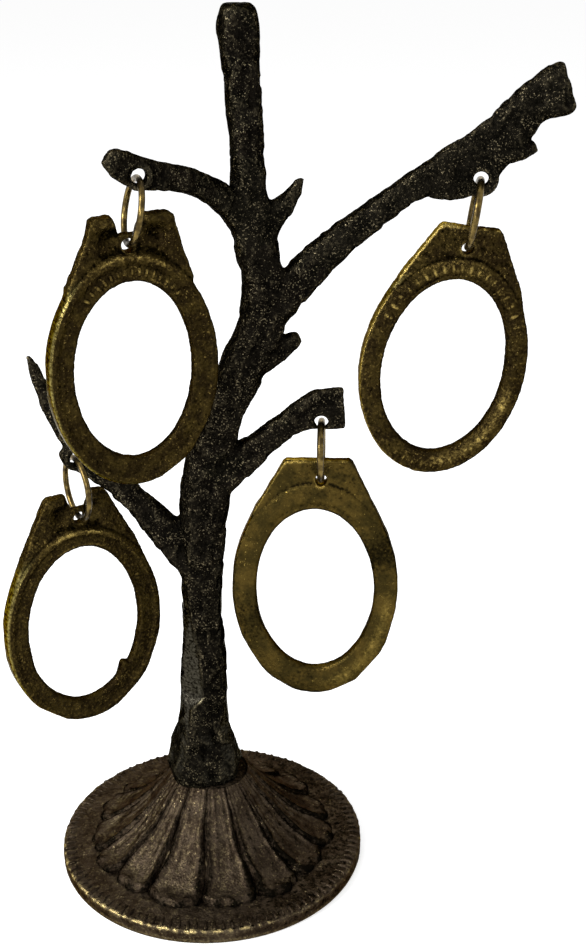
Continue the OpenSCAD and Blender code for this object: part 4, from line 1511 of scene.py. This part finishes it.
def main() -> None:
    """Builds the studio and each sub-assembly."""
    logging.basicConfig(level=logging.INFO, format="%(name)s %(message)s")
    Studio().build()
    shop = Workshop()
    BellFoot(shop).build()
    FixingScrew(shop).build()
    TreeCasting(shop).build()
    rings = [
        SplitRing(shop, "ring_upper_left", radius=6.2, yaw=18, lean=12, wire_d=1.25),
        SplitRing(shop, "ring_upper_right", radius=6.7, yaw=-5, lean=9),
        SplitRing(shop, "ring_lower_left", radius=6.7, yaw=29, lean=0, wire_d=1.3),
        SplitRing(shop, "ring_lower_right", radius=6.2, yaw=-3, lean=0),
    ]
    frames = [
        OvalFrame(shop, rings[0], "frame_upper_left", TabStyle.LOBED, turn=6, tilt=-12,
                  open_half=(12.1, 17.9), outer_half=(17.3, 23.7), side=0, drop=24.8,
                  tab_half=8.2, tab_side=0.9, seed=1.0, straight_flanks=False, contrast=1.3, wear=-0.05,
                  flats=((-32, 0.35), (-58, 0.3)),
                  rows=(BarRow(share=0.34, start=48, sweep=88, count=15),)),
        OvalFrame(shop, rings[1], "frame_upper_right", TabStyle.SQUARE, turn=9, tilt=0,
                  open_half=(12.8, 18.9), outer_half=(17.4, 24.0), side=0, drop=25.5,
                  tab_half=6.5, tab_side=0, seed=2.0, contrast=2.2, wear=-0.04,
                  highlight_streak=(0.35, 0.26, -100, 0, 0.46),
                  rows=(BarRow(share=0.50, start=30, sweep=130, count=19, length=2.4, width=1.1, rise=0.6, worn=0.95),
                        BarRow(share=0.55, start=244, sweep=62, count=8, length=1.8, width=0.8, worn=0.85))),
        OvalFrame(shop, rings[2], "frame_lower_left", TabStyle.LOBED, turn=0, tilt=0,
                  open_half=(13.0, 18.9), outer_half=(18.2, 23.8), side=-0.6, drop=25.8,
                  tab_half=7.0, tab_side=-0.7, seed=3.0, bead=(304.0, 1.7), waves=0.018, contrast=1.2,
                  wear=0.04, flats=((232, 0.45), (-50, 0.4), (-22, 0.3))),
        OvalFrame(shop, rings[3], "frame_lower_right", TabStyle.SQUARE, turn=1, tilt=0,
                  open_half=(12.9, 19.5), outer_half=(18.3, 26.3), side=-1.3, drop=26.4,
                  tab_half=7.4, tab_side=-0.7, seed=4.0, worn=True, contrast=1.4, wear=-0.02,
                  highlight_streak=(0.55, 0.24, -95, 5, 0.36),
                  flats=((-14, 0.3), (-38, 0.4), (-62, 0.35), (208, 0.35), (238, 0.3)),
                  shades=((33, 15, 0.32), (205, 22, 0.22), (262, 12, 0.12), (85, 14, 0.12))),
    ]
    for part in rings + frames:
        part.build()


if __name__ == "__main__":
    main()
